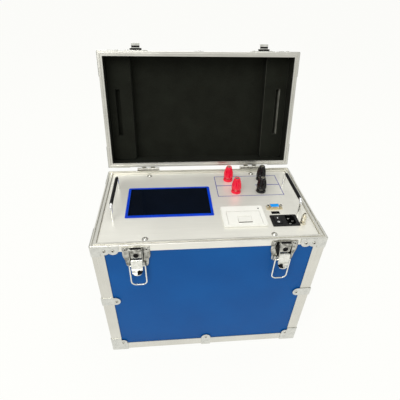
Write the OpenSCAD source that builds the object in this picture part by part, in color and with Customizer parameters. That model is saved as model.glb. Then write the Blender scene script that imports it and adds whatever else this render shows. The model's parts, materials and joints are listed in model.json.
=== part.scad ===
// Bench instrument in a carrying case, shown with its lid open.
// X runs along the front, Y to the back and Z up. The origin is on the bench, under the middle of the case.

/* [Case] */
// Width of the case over its edge trims
case_w = 398; // [392:1:440]
// Depth of the case over its edge trims
case_d = 232; // [228:1:270]
// Height of the case from the underside of its trims to its rim
case_h = 306; // [290:1:360]
// Depth of the lid from its rim to its outer face
lid_h = 60; // [58:1:80]
// Angle of the open lid from the shut position, in degrees
lid_open = 102.9; // [95:0.1:108]
// Clear height under the case
foot_h = 5; // [3:0.5:12]
// Thickness of the laminate wall panels
wall_t = 5; // [4:0.5:6]
// Thickness of the aluminium edge trims
trim_t = 1.5; // [1:0.1:2]
// Width of each leg of an edge trim
trim_w = 21; // [18:0.5:22]
// Thickness of the rim frame inside the walls
rim_in_t = 2.5; // [2:0.1:4]
// Height of the rim frame's outer skirt
rim_skirt = 14; // [13.5:0.5:18]
// Thickness of the rim frame over the wall's edge
rim_web = 3; // [2.6:0.1:3.6]
// Gap between the two rims when the lid is shut
seal_gap = 0.3; // [0.1:0.05:0.6]

/* [Fittings] */
// Thickness of the corner braces and clips
brace_t = 1.2; // [0.8:0.1:1.6]
// Length of a rim brace's arm
rim_arm = 46; // [44:0.5:50]
// Width of a foot brace's arm
foot_arm = 33; // [32:0.5:38]
// Height of a foot brace on the case
foot_arm_v = 39; // [34:0.5:44]
// Width of an edge clip
clip_w = 20; // [14:0.5:26]
// Length of an edge clip's arm
clip_arm = 34; // [32:0.5:40]
// Drop from the rim to the middle of the side clips
clip_drop = 142; // [100:1:170]
// Radius of a rivet's head
rivet_r = 3; // [2.2:0.1:3.6]
// Height of a rivet's head
rivet_h = 1.2; // [0.8:0.1:1.6]
// Radius of a rivet's shank
rivet_shank_r = 1.6; // [1.2:0.1:1.8]

/* [Hinges and latches] */
// Distance of each hinge's middle from the side of the case
hinge_side = 85; // [77:1:99]
// Width of a hinge
hinge_w = 48; // [40:1:54]
// Distance of the hinge axis behind the case
hinge_off = 5.2; // [5:0.1:6]
// Outer radius of the hinge knuckles
knuckle_r = 3.4; // [3.1:0.1:3.5]
// Radius of the hinge pin
hinge_pin_r = 1.75; // [1.4:0.05:2]
// Height of a hinge leaf
leaf_h = 24; // [18:0.5:28]
// Distance of each latch's middle from the side of the case
latch_side = 73.6; // [71:0.1:89]
// Width of the latch plate at its top
latch_w = 46; // [42:0.5:50]
// Height of the latch plate
latch_h = 47; // [44:0.5:52]
// Width of the raised lock housing
lock_w = 19.4; // [17:0.2:20]
// Height of the raised lock housing
lock_h = 19; // [17:0.5:20]
// How far the lock housing stands out of its plate
lock_d = 7; // [6:0.2:7.4]
// Drop from the rim to the lever's pin
lever_drop = 27; // [26:0.2:28]
// Length of the lever below its pin
lever_len = 31; // [28:0.5:36]
// Drop from the rim to the bail's pivot
bail_drop = 41.5; // [41.5:0.5:43]
// Distance between the bail's two arms, middle to middle
bail_w = 28; // [27.5:0.5:32]
// Thickness of the bail's wire
wire_d = 3; // [2.4:0.1:3]

/* [Panel] */
// Drop from the rim to the top of the instrument panel
panel_drop = 4; // [3.4:0.1:6]
// Thickness of the instrument panel
plate_t = 2.5; // [2:0.1:3]
// Distance of the panel screws from the sides of the case
screw_side = 88; // [83:1:99]
// Distance of the panel screws from the front and back of the case
screw_edge = 17; // [16:0.5:20]
// Distance of the screen's middle from the left side of the case
screen_side = 130.2; // [127:0.1:133]
// Middle of the screen, front to back
screen_y = 5; // [0:0.1:10]
// Width of the screen's frame
screen_w = 163; // [158:0.5:166]
// Depth of the screen's frame, front to back
screen_d = 94; // [90:0.5:98]
// Width of the frame's border
screen_border = 5; // [4:0.1:8]
// Distance of the printer's middle from the right side of the case
printer_side = 132.7; // [131:0.1:135]
// Middle of the printer, front to back
printer_y = -49; // [-52:0.1:-46]
// Width of the printer's flange
printer_w = 80; // [78:0.5:82]
// Depth of the printer's flange, front to back
printer_d = 58; // [57:0.5:60]
// Distance of the mains inlet's middle from the right side of the case
inlet_side = 59.2; // [57:0.1:62]
// Middle of the mains inlet, front to back
inlet_y = -63.5; // [-67:0.1:-62]
// Distance of the serial socket's middle from the right side of the case
serial_side = 68.4; // [65:0.1:73]
// Middle of the serial socket, front to back
serial_y = -24.5; // [-27:0.1:-20]
// Distance of the USB socket's middle from the right side of the case
usb_side = 69.7; // [65:0.1:73]
// Middle of the USB socket, front to back
usb_y = -39.2; // [-40.5:0.1:-37]
// Distance of the ground post from the right side of the case
ground_side = 28.4; // [26:0.1:31]
// Middle of the ground post, front to back
ground_y = -72; // [-80:0.1:-68]
// Distance of each carrying handle from the side of the case
handle_side = 28; // [26:0.5:31]
// Middle of the carrying handles, front to back
handle_y = 4.5; // [0:0.5:8]
// Distance between a handle's legs
handle_gap = 99; // [90:0.5:104]
// Height of a handle to the middle of its bar
handle_h = 30; // [26:0.2:30]
// Thickness of a handle's bar
handle_bar = 5; // [4.4:0.1:6]

/* [Terminals] */
// Distance of the four terminals' middle from the right side of the case
posts_side = 106.8; // [105:0.1:109]
// Distance between the two back terminals
posts_back_gap = 71; // [66:0.5:74]
// Distance between the two front terminals
posts_front_gap = 51.6; // [46:0.2:56]
// Place of the back terminals, front to back
posts_back_y = 77.4; // [75:0.2:79]
// Place of the front terminals, front to back
posts_front_y = 32.8; // [30:0.2:38]
// Height of a terminal over the panel
post_h = 34; // [32:0.5:36]
// Largest radius of a terminal
post_r = 10; // [9:0.1:10.4]
// Radius of a terminal's metal stud
stud_r = 4; // [3.6:0.1:4.2]
// Radius of the plug hole in a stud
plug_r = 2; // [1.8:0.05:2.1]
// Depth of the plug hole in a stud
plug_depth = 18; // [14:0.5:20]

/* [Lid interior] */
// Thickness of the foam lining
lining_t = 2.5; // [1.5:0.1:4]
// Distance from the lid's rim to the face of the foam blocks
block_drop = 30; // [29.6:0.1:36]
// Distance of the foam blocks' inner sides from the side of the case
block_side = 58; // [49:0.5:60.5]
// Width of the slot in a foam block
slot_w = 9; // [7:0.5:14]
// Length of the slot in a foam block
slot_len = 96; // [92:0.5:104]
// Depth of the slot in a foam block
slot_depth = 12; // [6:0.5:16]

/* [Hidden] */
$fn = 48;

// How far a cut runs past a face
past = 0.5;
// Running clearance around a pin or stud
run = 0.06;
// Play between flat pieces that move past each other
play = 0.4;
// Clearance around what sits in a cut-out
fit_gap = 0.4;
// Height of the rims over the bench
z_rim = foot_h + case_h;
z_panel = z_rim - panel_drop;
rim_w = trim_t + wall_t + rim_in_t;
// Distance of the walls' inner faces from the trims' outer face
inner_in = trim_t + wall_t;
// Reach of the mitred corners, past every section that they cut
mitre_d = trim_w + rim_w;
hinge_y = case_d/2 + hinge_off;
hinge_z = z_rim + seal_gap/2;
// Places from the middle of the case
hinge_x = case_w/2 - hinge_side;
latch_x = case_w/2 - latch_side;
panel_screw_x = case_w/2 - screw_side;
panel_screw_y = case_d/2 - screw_edge;
screen_x = screen_side - case_w/2;
printer_x = case_w/2 - printer_side;
inlet_x = case_w/2 - inlet_side;
serial_x = case_w/2 - serial_side;
usb_x = case_w/2 - usb_side;
ground_x = case_w/2 - ground_side;
handle_x = case_w/2 - handle_side;
posts_x = case_w/2 - posts_side;
block_x = case_w/2 - block_side;

// Puts a piece of the shut lid where the open lid holds it
module swing_lid() translate([0, hinge_y, hinge_z]) rotate([-lid_open, 0, 0])
    translate([0, -hinge_y, -hinge_z]) children();

// The case is drawn as a box hanging below its rim at z = 0, and the lid as the same box turned over
module in_case() translate([0, 0, z_rim]) children();
module in_lid() swing_lid() translate([0, 0, z_rim + seal_gap]) mirror([0, 0, 1]) children();

// The four sides of the box: 0 front, 1 right, 2 back, 3 left
SIDES = [0:3];
function side_w(i) = i % 2 == 0 ? case_w : case_d;
function side_off(i) = i % 2 == 0 ? case_d/2 : case_w/2;
// Local x runs along the side, y up and z outwards, with z = 0 on the trims' outer face
module on_side(i) rotate([0, 0, 90*i]) translate([0, -side_off(i), 0]) rotate([90, 0, 0]) children();
// Puts a shape drawn from a corner at both ends of a side, its x running inwards
module at_side_ends(i) for (s = [-1, 1]) scale_x(s) translate([-side_w(i)/2, 0, 0]) children();
module scale_x(s) mirror([s > 0 ? 1 : 0, 0, 0]) children();
// Extrudes a section along a side with mitred ends: section x runs inwards, section y up
module mitred(i, low, high) rotate([0, 0, 90*i]) translate([0, -side_off(i), 0]) intersection() {
    translate([-side_w(i)/2, 0, 0]) rotate([90, 0, 90]) linear_extrude(side_w(i)) children();
    translate([0, 0, low - past]) linear_extrude(high - low + 2*past)
        polygon([[-side_w(i)/2, 0], [side_w(i)/2, 0], [side_w(i)/2 - mitre_d, mitre_d],
            [-side_w(i)/2 + mitre_d, mitre_d]]);
}
// A rectangle with round corners, its middle at the origin
module round_rect(w, d, r) {
    square([w - 2*r, d], center = true);
    square([w, d - 2*r], center = true);
    for (sx = [-1, 1], sy = [-1, 1]) translate([sx*(w/2 - r), sy*(d/2 - r)]) circle(r);
}
module round_plate(w, d, r, t) linear_extrude(t) round_rect(w, d, r);
// A cylinder along X, its middle at the origin
module rod_x(len, r) rotate([0, 90, 0]) translate([0, 0, -len/2]) cylinder(r = r, h = len);

// Rivets: each u is a distance from a side's end, each drop one from the rim, each up one from the end face,
// and each x one from the middle of a hinge or latch
rim_rivet_u = [22, 36];
rim_rivet_drop = 10.5;
foot_rivet_u = 24;
foot_rivet_up = 25;
clip_rivet_u = clip_arm - clip_w/2 + rivet_r;
rivet_play = 0.05;
hinge_rivet_x = 16;
hinge_rivet_drops = [11, 23];
latch_rivet_x = 17.5;
latch_rivet_drop = 8;
catch_rivet_drop = 12;
module rivet_places(h, is_case) {
    for (s = [-1, 1], e = [-1, 1]) {
        for (d = hinge_rivet_drops) on_side(2)
            translate([s*hinge_x + e*hinge_rivet_x, -d, leaf_t]) children();
        on_side(0) translate([s*latch_x + e*latch_rivet_x, 0, latch_t])
            translate([0, is_case ? -latch_rivet_drop : -catch_rivet_drop, 0]) children();
    }
    for (i = SIDES) on_side(i) {
        at_side_ends(i) {
            for (u = rim_rivet_u) translate([u, -rim_rivet_drop, brace_t]) children();
            translate([foot_rivet_u, -h + foot_rivet_up, brace_t]) children();
            if (is_case) translate([clip_rivet_u, -clip_drop, brace_t]) children();
        }
        translate([0, -h + clip_rivet_u, brace_t]) children();
    }
}
module rivet_holes(h, is_case) rivet_places(h, is_case)
    translate([0, 0, -brace_t - trim_t - wall_t - past])
        cylinder(r = rivet_shank_r + rivet_play, h = brace_t + trim_t + wall_t + 2*past);
module rivets(h, is_case) rivet_places(h, is_case) {
    cylinder(r1 = rivet_r, r2 = rivet_r*0.6, h = rivet_h);
    translate([0, 0, -brace_t - trim_t - wall_t])
        cylinder(r = rivet_shank_r, h = brace_t + trim_t + wall_t + rivet_h/2);
}

// Wall panels: they stand between the end panel and the rim's web
module box_walls(h, is_case) difference() {
    for (i = SIDES) {
        w = side_w(i) - 2*trim_t - (i % 2 == 0 ? 0 : 2*wall_t);
        on_side(i) translate([-w/2, -h + inner_in, -inner_in]) cube([w, h - inner_in - rim_web, wall_t]);
    }
    rivet_holes(h, is_case);
}
module box_end_panel(h) translate([-case_w/2 + trim_t, -case_d/2 + trim_t, -h + trim_t])
    cube([case_w - 2*trim_t, case_d - 2*trim_t, wall_t]);

// Edge trims: four along the end face and four up the corners, which run down into them
trim_r = 1.2;
module trim_section(h) difference() {
    translate([0, -h]) {
        translate([trim_r, 0]) square([trim_w - trim_r, trim_t]);
        translate([0, trim_r]) square([trim_t, trim_w - trim_r]);
        translate([trim_r, trim_r]) circle(trim_r);
    }
    translate([trim_t, -h + trim_t]) square(trim_w);
}
module box_trims(h) {
    for (i = SIDES) mitred(i, -h, -h + trim_w) trim_section(h);
    for (sx = [-1, 1], sy = [-1, 1]) translate([sx*case_w/2, sy*case_d/2, -h + trim_w/2])
        mirror([sx > 0 ? 1 : 0, 0, 0]) mirror([0, sy > 0 ? 1 : 0, 0])
            linear_extrude(h - trim_w/2 - rim_skirt) difference() {
                union() {
                    translate([trim_r, 0]) square([trim_w - trim_r, trim_t]);
                    translate([0, trim_r]) square([trim_t, trim_w - trim_r]);
                    translate([trim_r, trim_r]) circle(trim_r);
                }
                translate([trim_t, trim_t]) square(trim_w);
            }
}

// Rim frames: a channel over the walls' edge, with a groove on the case and a tongue on the lid
groove_in = 4.2;
groove_w = 2.4;
groove_depth = 2;
tongue_play = 0.4;
rim_edge = 0.9;
// The inner flange reaches down to the frame that carries the panel
rim_flange = panel_drop + plate_t;
module rim_section(flange) {
    translate([rim_edge, -rim_web]) square([rim_w - rim_edge, rim_web]);
    translate([0, -rim_skirt]) square([trim_t, rim_skirt - rim_edge]);
    translate([rim_edge, -rim_edge]) circle(rim_edge);
    translate([0, -rim_web]) square([rim_edge, rim_web - rim_edge]);
    translate([inner_in, -flange]) square([rim_in_t, flange]);
}
module case_rim() for (i = SIDES) mitred(i, -rim_skirt, 0) difference() {
    rim_section(rim_flange);
    translate([groove_in - groove_w/2, -groove_depth]) square([groove_w, groove_depth + past]);
}
module lid_rim() for (i = SIDES) mitred(i, -rim_skirt, groove_depth) {
    rim_section(rim_flange);
    translate([groove_in - groove_w/2 + tongue_play, -rim_web/2])
        square([groove_w - 2*tongue_play, rim_web/2 + seal_gap + groove_depth - 2*tongue_play]);
}

// Braces: face plates drawn from the corner, x inwards and y up, joined round the corner
brace_r = 2.4;
lobe_r = 9;
foot_lobe_r = 8;
brace_tail_w = 15;
brace_tail = 23;
brace_top_gap = 0.6;
module rim_brace_outline() {
    translate([-brace_t, -rim_rivet_drop]) square([rim_arm + brace_t - lobe_r/2, rim_rivet_drop]);
    translate([0, -rim_rivet_drop]) square([rim_arm, rim_rivet_drop]);
    for (u = rim_rivet_u) translate([u, -rim_rivet_drop]) circle(lobe_r);
    translate([-brace_t, -brace_tail]) square([brace_tail_w + brace_t, brace_tail]);
}
module rim_brace_face(i) on_side(i) at_side_ends(i) linear_extrude(brace_t) intersection() {
    rim_brace_outline();
    translate([-brace_t, -side_w(i)]) square([side_w(i), side_w(i) - brace_top_gap]);
}
module brace_round(low, high) translate([0, 0, low]) linear_extrude(high - low)
    round_rect(case_w + 2*brace_t, case_d + 2*brace_t, brace_r);
module box_braces(h, arm_v) intersection() {
    union() {
        for (i = SIDES) {
            rim_brace_face(i);
            foot_brace_face(i, h, arm_v);
        }
        foot_brace_ends(h);
    }
    brace_round(-h - brace_t, 0);
}
module foot_brace_face(i, h, arm_v) on_side(i) at_side_ends(i) linear_extrude(brace_t)
    translate([-brace_t, -h - brace_t]) {
        square([foot_arm + brace_t, trim_w + brace_t]);
        square([trim_w + brace_t, arm_v + brace_t]);
        translate([foot_rivet_u + brace_t, foot_rivet_up + brace_t]) circle(foot_lobe_r);
    }
module foot_brace_ends(h) for (sx = [-1, 1], sy = [-1, 1])
    translate([sx*(case_w/2 + brace_t), sy*(case_d/2 + brace_t), -h - brace_t])
        mirror([sx > 0 ? 1 : 0, 0, 0]) mirror([0, sy > 0 ? 1 : 0, 0]) linear_extrude(brace_t) {
            square([foot_arm + brace_t, trim_w + brace_t]);
            square([trim_w + brace_t, foot_arm + brace_t]);
        }

// Clips: a strip folded over an edge, with a round end on each face
module clip_strip() {
    translate([-brace_t, -clip_w/2]) square([clip_arm - clip_w/2 + brace_t, clip_w]);
    translate([clip_arm - clip_w/2, 0]) circle(clip_w/2);
}
module side_clips() for (i = SIDES) on_side(i) at_side_ends(i) translate([0, -clip_drop, 0])
    linear_extrude(brace_t) clip_strip();
module end_clips(h) for (i = SIDES) on_side(i) translate([0, -h, 0]) {
    linear_extrude(brace_t) rotate([0, 0, 90]) clip_strip();
    translate([-clip_w/2, -brace_t, -trim_w]) cube([clip_w, brace_t, trim_w + brace_t]);
}

// Case pieces
module case_wall_panels() color([0.1, 0.33, 0.62]) in_case() box_walls(case_h, true);
module case_base_panel() color([0.1, 0.33, 0.62]) difference() {
    in_case() box_end_panel(case_h);
    foot_places() cylinder(r = foot_screw_r + run, h = z_rim);
}
module case_edge_trims() color([0.78, 0.79, 0.8]) in_case() box_trims(case_h);
module case_rim_frame() color([0.86, 0.86, 0.84]) in_case() difference() {
    case_rim();
    rivet_holes(case_h, true);
}
module case_corner_braces() color([0.7, 0.71, 0.7]) in_case() difference() {
    box_braces(case_h, foot_arm_v);
    rivet_holes(case_h, true);
}
module case_edge_clips() color([0.7, 0.71, 0.7]) in_case() difference() {
    union() {
        side_clips();
        end_clips(case_h);
    }
    rivet_holes(case_h, true);
}
module case_rivets() color([0.6, 0.6, 0.6]) in_case() rivets(case_h, true);

// Rubber feet under the base panel, each held by a screw in a counterbore
foot_r = 12;
foot_top_r = 14;
foot_in = 48;
foot_screw_r = 2;
foot_head_r = 4;
foot_head_h = 2.4;
foot_recess = 3;
base_z = foot_h + trim_t;
module foot_places() for (sx = [-1, 1], sy = [-1, 1])
    translate([sx*(case_w/2 - foot_in), sy*(case_d/2 - foot_in), 0]) children();
module rubber_feet() color([0.08, 0.08, 0.08]) foot_places() difference() {
    cylinder(r1 = foot_r, r2 = foot_top_r, h = base_z);
    translate([0, 0, -past]) cylinder(r = foot_head_r + fit_gap, h = foot_recess + past);
    cylinder(r = foot_screw_r + run, h = base_z + past);
}
module foot_screws() foot_places() translate([0, 0, foot_recess - foot_head_h]) {
    cylinder(r = foot_head_r, h = foot_head_h);
    cylinder(r = foot_screw_r, h = base_z + wall_t - foot_recess);
}

// Panel screws: dome heads on washers, threaded into the support frame
pscrew_r = 2;
pscrew_head_r = 4.2;
pscrew_head_h = 2.6;
pwasher_r = 5.4;
pwasher_t = 0.8;
pscrew_hex_r = 1.7;
pscrew_hex_depth = 1.6;
module panel_screw_places() for (sx = [-1, 1], sy = [-1, 1])
    translate([sx*panel_screw_x, sy*panel_screw_y, z_panel]) children();
module panel_screws() panel_screw_places() difference() {
    union() {
        cylinder(r = pwasher_r, h = pwasher_t);
        translate([0, 0, pwasher_t]) intersection() {
            cylinder(r = pscrew_head_r, h = pscrew_head_h);
            translate([0, 0, pscrew_head_h - dome_r(pscrew_head_r, pscrew_head_h)])
                sphere(dome_r(pscrew_head_r, pscrew_head_h));
        }
        translate([0, 0, -plate_t - support_t]) cylinder(r = pscrew_r, h = plate_t + support_t + pwasher_t);
    }
    translate([0, 0, pwasher_t + pscrew_head_h - pscrew_hex_depth])
        cylinder(r = pscrew_hex_r, h = pscrew_hex_depth + past, $fn = 6);
}
// Radius of the sphere whose cap has radius r and height h
function dome_r(r, h) = (r*r + h*h) / (2*h);

// Jack screws of the serial socket: threaded hexagons that take a plug's screws
jack_gap = 24.99;
jack_r = 2.75;
jack_h = 5.4;
jack_hole_r = 1.42;
jack_shank_r = 2.05;
module jack_places() for (s = [-1, 1]) translate([serial_x + s*jack_gap/2, serial_y, z_panel]) children();
module jack_screws() jack_places() difference() {
    union() {
        translate([0, 0, serial_flange_t]) cylinder(r = jack_r, h = jack_h, $fn = 6);
        translate([0, 0, -plate_t - serial_body_h + past])
            cylinder(r = jack_shank_r, h = plate_t + serial_body_h + serial_flange_t);
    }
    translate([0, 0, serial_flange_t + jack_h - jack_len]) cylinder(r = jack_hole_r, h = jack_len + past);
}
jack_len = 4.6;

// Screws that hold the handles from below the panel
hscrew_r = 1.5;
hscrew_head_r = 4;
hscrew_head_h = 2.4;
hscrew_len = 9;
module handle_leg_places() for (sx = [-1, 1], sy = [-1, 1])
    translate([sx*handle_x, handle_y + sy*handle_gap/2, z_panel]) children();
module handle_screws() handle_leg_places() translate([0, 0, -plate_t - hscrew_head_h]) {
    cylinder(r = hscrew_head_r, h = hscrew_head_h);
    cylinder(r = hscrew_r, h = plate_t + hscrew_head_h + hscrew_len);
}
module machine_screws() color([0.75, 0.75, 0.76]) {
    foot_screws();
    panel_screws();
    jack_screws();
    handle_screws();
}

// Hinges: five knuckles, three on the case and two on the lid
leaf_t = 1.5;
knuckles = 5;
knuckle_gap = 0.3;
leaf_gap = 5;
module knuckle_places(first) for (s = [-1, 1], k = [first:2:knuckles - 1])
    translate([s*hinge_x - hinge_w/2 + (k + 0.5)*hinge_w/knuckles, hinge_y, 0]) children();
// Drawn with the hinge axis at z = 0 and the leaf below it
module hinge_leaf(first) difference() {
    union() {
        for (s = [-1, 1]) translate([s*hinge_x - hinge_w/2, case_d/2, -leaf_gap - leaf_h])
            cube([hinge_w, leaf_t, leaf_h]);
        knuckle_places(first) {
            rod_x(hinge_w/knuckles - knuckle_gap, knuckle_r);
            rotate([90, 0, 90]) translate([0, 0, -(hinge_w/knuckles - knuckle_gap)/2])
                linear_extrude(hinge_w/knuckles - knuckle_gap)
                    polygon([[-hinge_off, -leaf_gap - leaf_t], [-hinge_off + leaf_t, -leaf_gap - 2*leaf_t],
                        [knuckle_r*0.7, -knuckle_r*0.7], [-knuckle_r*0.7, -knuckle_r*0.7],
                        [-hinge_off + leaf_t/2, -leaf_gap]]);
        }
    }
    translate([0, hinge_y, 0]) rod_x(case_w, hinge_pin_r + run);
}
module hinge_case_leaves() color([0.72, 0.73, 0.73]) difference() {
    translate([0, 0, hinge_z]) hinge_leaf(0);
    in_case() rivet_holes(case_h, true);
}
module hinge_lid_leaves() color([0.72, 0.73, 0.73]) difference() {
    swing_lid() translate([0, 0, hinge_z]) mirror([0, 0, 1]) hinge_leaf(1);
    in_lid() rivet_holes(lid_h, false);
}

// Latches on the front: local x along the front, y up from the rim, z out of the trims' face
latch_t = 1.5;
latch_top = 3.5;
latch_foot_w = 25;
latch_mid_w = 32;
latch_mid = 33;
latch_shoulder = 13;
ear_t = 1.5;
lever_pin_r = 1.5;
lever_z = 9.5;
slot_d = 4.4;
key_r = 3.2;
key_depth = 3;
key_drop = 15;
lock_wall = 1.2;
lock_corner = 1.5;
module on_latch(s) translate([s*latch_x, 0, z_rim]) on_side(0) children();
// Right half of the latch plate's outline
latch_half = [[0, -latch_top], [latch_w/2, -latch_top], [latch_w/2, -latch_shoulder],
    [latch_mid_w/2, -latch_mid], [latch_foot_w/2, -latch_top - latch_h + latch_t],
    [latch_foot_w/2 - latch_t, -latch_top - latch_h], [0, -latch_top - latch_h]];
module latch_plate(s) on_latch(s) difference() {
    union() {
        for (e = [-1, 1]) scale_x(e) linear_extrude(latch_t) polygon(latch_half);
        translate([0, -latch_top - lock_h/2, latch_t/2])
            linear_extrude(lock_d + latch_t/2) round_rect(lock_w, lock_h, lock_corner);
        for (e = [-1, 1]) scale_x(e) translate([lock_w/2, -lever_drop - 2*lever_pin_r, latch_t/2])
            cube([ear_t, lever_drop - latch_top + 2*lever_pin_r, lever_z + 2*lever_pin_r - latch_t/2]);
    }
    translate([-lock_w/2 + lock_wall, -latch_top - lock_h/2, latch_t + lock_wall])
        cube([lock_w - 2*lock_wall, lock_h/2 + past, slot_d]);
    translate([0, -key_drop, latch_t + lock_d - key_depth]) cylinder(r = key_r, h = key_depth + past);
    translate([0, -lever_drop, lever_z]) rod_x(latch_w, lever_pin_r + run/2);
}
module latch_plates() color([0.72, 0.72, 0.7]) difference() {
    for (s = [-1, 1]) latch_plate(s);
    in_case() rivet_holes(case_h, true);
}
module pivot_pins() color([0.65, 0.65, 0.66]) {
    for (s = [-1, 1]) translate([s*hinge_x, hinge_y, hinge_z]) rod_x(hinge_w, hinge_pin_r);
    for (s = [-1, 1]) on_latch(s) translate([0, -lever_drop, lever_z]) rod_x(lock_w + 2*ear_t, lever_pin_r);
}

// Lever: a plate on a barrel, with two side flanges that carry the bail and a rolled end
lever_play = 0.3;
lever_w = lock_w - 2*lever_play;
lever_t = 1.6;
lever_barrel_r = 2.6;
flange_t = 1.6;
bail_z = 7;
bail_hole_r = wire_d/2 + run;
flange_low = bail_drop - lever_drop + bail_hole_r + lever_t;
curl_r = 4.2;
curl_w = 13;
module lever(s) on_latch(s) translate([0, -lever_drop, 0]) difference() {
    union() {
        translate([0, 0, lever_z]) rod_x(lever_w, lever_barrel_r);
        translate([-lever_w/2, -flange_low - lever_t, lever_z + lever_barrel_r - lever_t])
            cube([lever_w, flange_low + lever_t, lever_t]);
        translate([-curl_w/2, -lever_len + curl_r, lever_z + lever_barrel_r - lever_t])
            cube([curl_w, lever_len - curl_r, lever_t]);
        for (e = [-1, 1]) scale_x(e) translate([-lever_w/2, -flange_low, bail_z - wire_d/2 - lever_t])
            cube([flange_t, flange_low, lever_z + lever_barrel_r - bail_z + wire_d/2 + lever_t/2]);
        translate([-curl_w/2, -lever_len + curl_r, lever_z + lever_barrel_r + curl_r - lever_t])
            rotate([0, 90, 0]) open_tube(curl_r, lever_t, curl_w);
    }
    translate([0, 0, lever_z]) rod_x(case_w, lever_pin_r + run);
    translate([0, -bail_drop + lever_drop, bail_z]) rod_x(case_w, bail_hole_r);
}
// Three quarters of a tube
module open_tube(r, t, w) linear_extrude(w) difference() {
    circle(r);
    circle(r - t);
    translate([-r - past, 0]) square([r + past, r + past]);
}
module latch_lever_left() color([0.85, 0.85, 0.84]) lever(-1);
module latch_lever_right() color([0.85, 0.85, 0.84]) lever(1);

// Bail: a wire loop whose two ends turn in through the lever's flanges
bail_corner = 7;
tongue_z = 1.5;
tongue_t = 1.7;
wire_gap = 0.3;
// The bail reaches the top of the lid's catch when it is swung up
bail_len = bail_drop + seal_gap + tongue_z + tongue_t + wire_gap + wire_d/2;
bail_in = lever_w/2 - flange_t - lever_play;
module bail(s) on_latch(s) translate([0, -bail_drop, bail_z]) {
    for (e = [-1, 1]) {
        translate([e*(bail_w/2 + bail_in)/2, 0, 0]) rod_x(bail_w/2 - bail_in, wire_d/2);
        translate([e*bail_w/2, 0, 0]) sphere(wire_d/2);
        translate([e*bail_w/2, 0, 0]) rotate([90, 0, 0]) cylinder(r = wire_d/2, h = bail_len - bail_corner);
        translate([e*(bail_w/2 - bail_corner), -bail_len + bail_corner, 0]) rotate([0, 0, e > 0 ? -90 : 180])
            rotate_extrude(angle = 90) translate([bail_corner, 0]) circle(wire_d/2);
    }
    translate([0, -bail_len, 0]) rod_x(bail_w - 2*bail_corner, wire_d/2);
}
module latch_bail_left() color([0.85, 0.85, 0.84]) bail(-1);
module latch_bail_right() color([0.85, 0.85, 0.84]) bail(1);

// Instrument panel and the frame under it
support_t = 2;
support_w = 20;
support_h = 20;
panel_w = case_w - 2*rim_w - 2*fit_gap;
panel_d = case_d - 2*rim_w - 2*fit_gap;
panel_corner = 2;
module instrument_panel() color([0.72, 0.72, 0.7]) difference() {
    translate([0, 0, z_panel - plate_t]) round_plate(panel_w, panel_d, panel_corner, plate_t);
    panel_screw_places() through(pscrew_r + run);
    translate([screen_x, screen_y, 0]) cut(screen_in_w - 2*glass_seat, screen_in_d - 2*glass_seat);
    translate([printer_x, printer_y, 0]) cut(bay_w + 2*bay_wall + 2*fit_gap, bay_d + 2*bay_wall + 2*fit_gap);
    translate([inlet_x, inlet_y, 0])
        cut(inlet_w - 2*inlet_lip + 2*fit_gap, inlet_d - 2*inlet_lip + 2*fit_gap);
    translate([serial_x, serial_y, 0]) cut(serial_shell_w + 2*fit_gap, serial_shell_d + 2*fit_gap);
    jack_places() through(jack_shank_r + run);
    translate([usb_x, usb_y, 0]) cut(usb_w + 2*fit_gap, usb_d + 2*fit_gap);
    translate([ground_x, ground_y, z_panel]) through(ground_r + run);
    post_places() through(neck_r + run);
    handle_leg_places() through(hscrew_r + run);
}
// A box below z = 0, its middle at x, y
module hang_box(x, y, w, d, h) translate([x - w/2, y - d/2, -h]) cube([w, d, h]);
module through(r) translate([0, 0, -plate_t - past]) cylinder(r = r, h = plate_t + 2*past);
module cut(w, d) translate([-w/2, -d/2, z_panel - plate_t - past]) cube([w, d, plate_t + 2*past]);
module panel_support_frame() color([0.7, 0.71, 0.72]) translate([0, 0, z_panel - plate_t]) difference() {
    translate([-case_w/2 + inner_in, -case_d/2 + inner_in, -support_h])
        cube([case_w - 2*inner_in, case_d - 2*inner_in, support_h]);
    translate([-case_w/2 + inner_in + support_t, -case_d/2 + inner_in + support_t, -support_h - support_t])
        cube([case_w - 2*inner_in - 2*support_t, case_d - 2*inner_in - 2*support_t, support_h]);
    translate([-case_w/2 + inner_in + support_w, -case_d/2 + inner_in + support_w, -support_h])
        cube([case_w - 2*inner_in - 2*support_w, case_d - 2*inner_in - 2*support_w, support_h + past]);
    translate([0, 0, -support_h]) {
        for (sx = [-1, 1], sy = [-1, 1]) {
            translate([sx*panel_screw_x, sy*panel_screw_y, 0])
                cylinder(r = pscrew_r + run, h = support_h + past);
            translate([sx*handle_x, handle_y + sy*handle_gap/2, 0])
                cylinder(r = hscrew_head_r + fit_gap, h = support_h + past);
        }
        translate([ground_x, ground_y, 0]) cylinder(r = ground_nut_r + fit_gap, h = support_h + past);
    }
}

// Touch screen
frame_h = 2;
frame_edge = 0.8;
frame_corner = 2;
glass_seat = 1.5;
glass_t = 1.6;
glass_gap = 0.15;
lcd_h = 7;
lcd_pcb_t = 1.6;
lcd_pcb_over = 4;
lcd_parts_h = 9;
screen_in_w = screen_w - 2*screen_border;
screen_in_d = screen_d - 2*screen_border;
module screen_frame() color([0.04, 0.14, 0.75]) translate([screen_x, screen_y, z_panel]) difference() {
    union() {
        round_plate(screen_w, screen_d, frame_corner, frame_h - frame_edge);
        round_plate(screen_w - 2*frame_edge, screen_d - 2*frame_edge, frame_corner, frame_h);
    }
    translate([0, 0, -past]) round_plate(screen_in_w, screen_in_d, frame_corner/2, frame_h + 2*past);
}
module screen_glass() color([0.03, 0.03, 0.04]) translate([screen_x, screen_y, z_panel])
    round_plate(screen_in_w - 2*glass_gap, screen_in_d - 2*glass_gap, frame_corner/2, glass_t);
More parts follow.
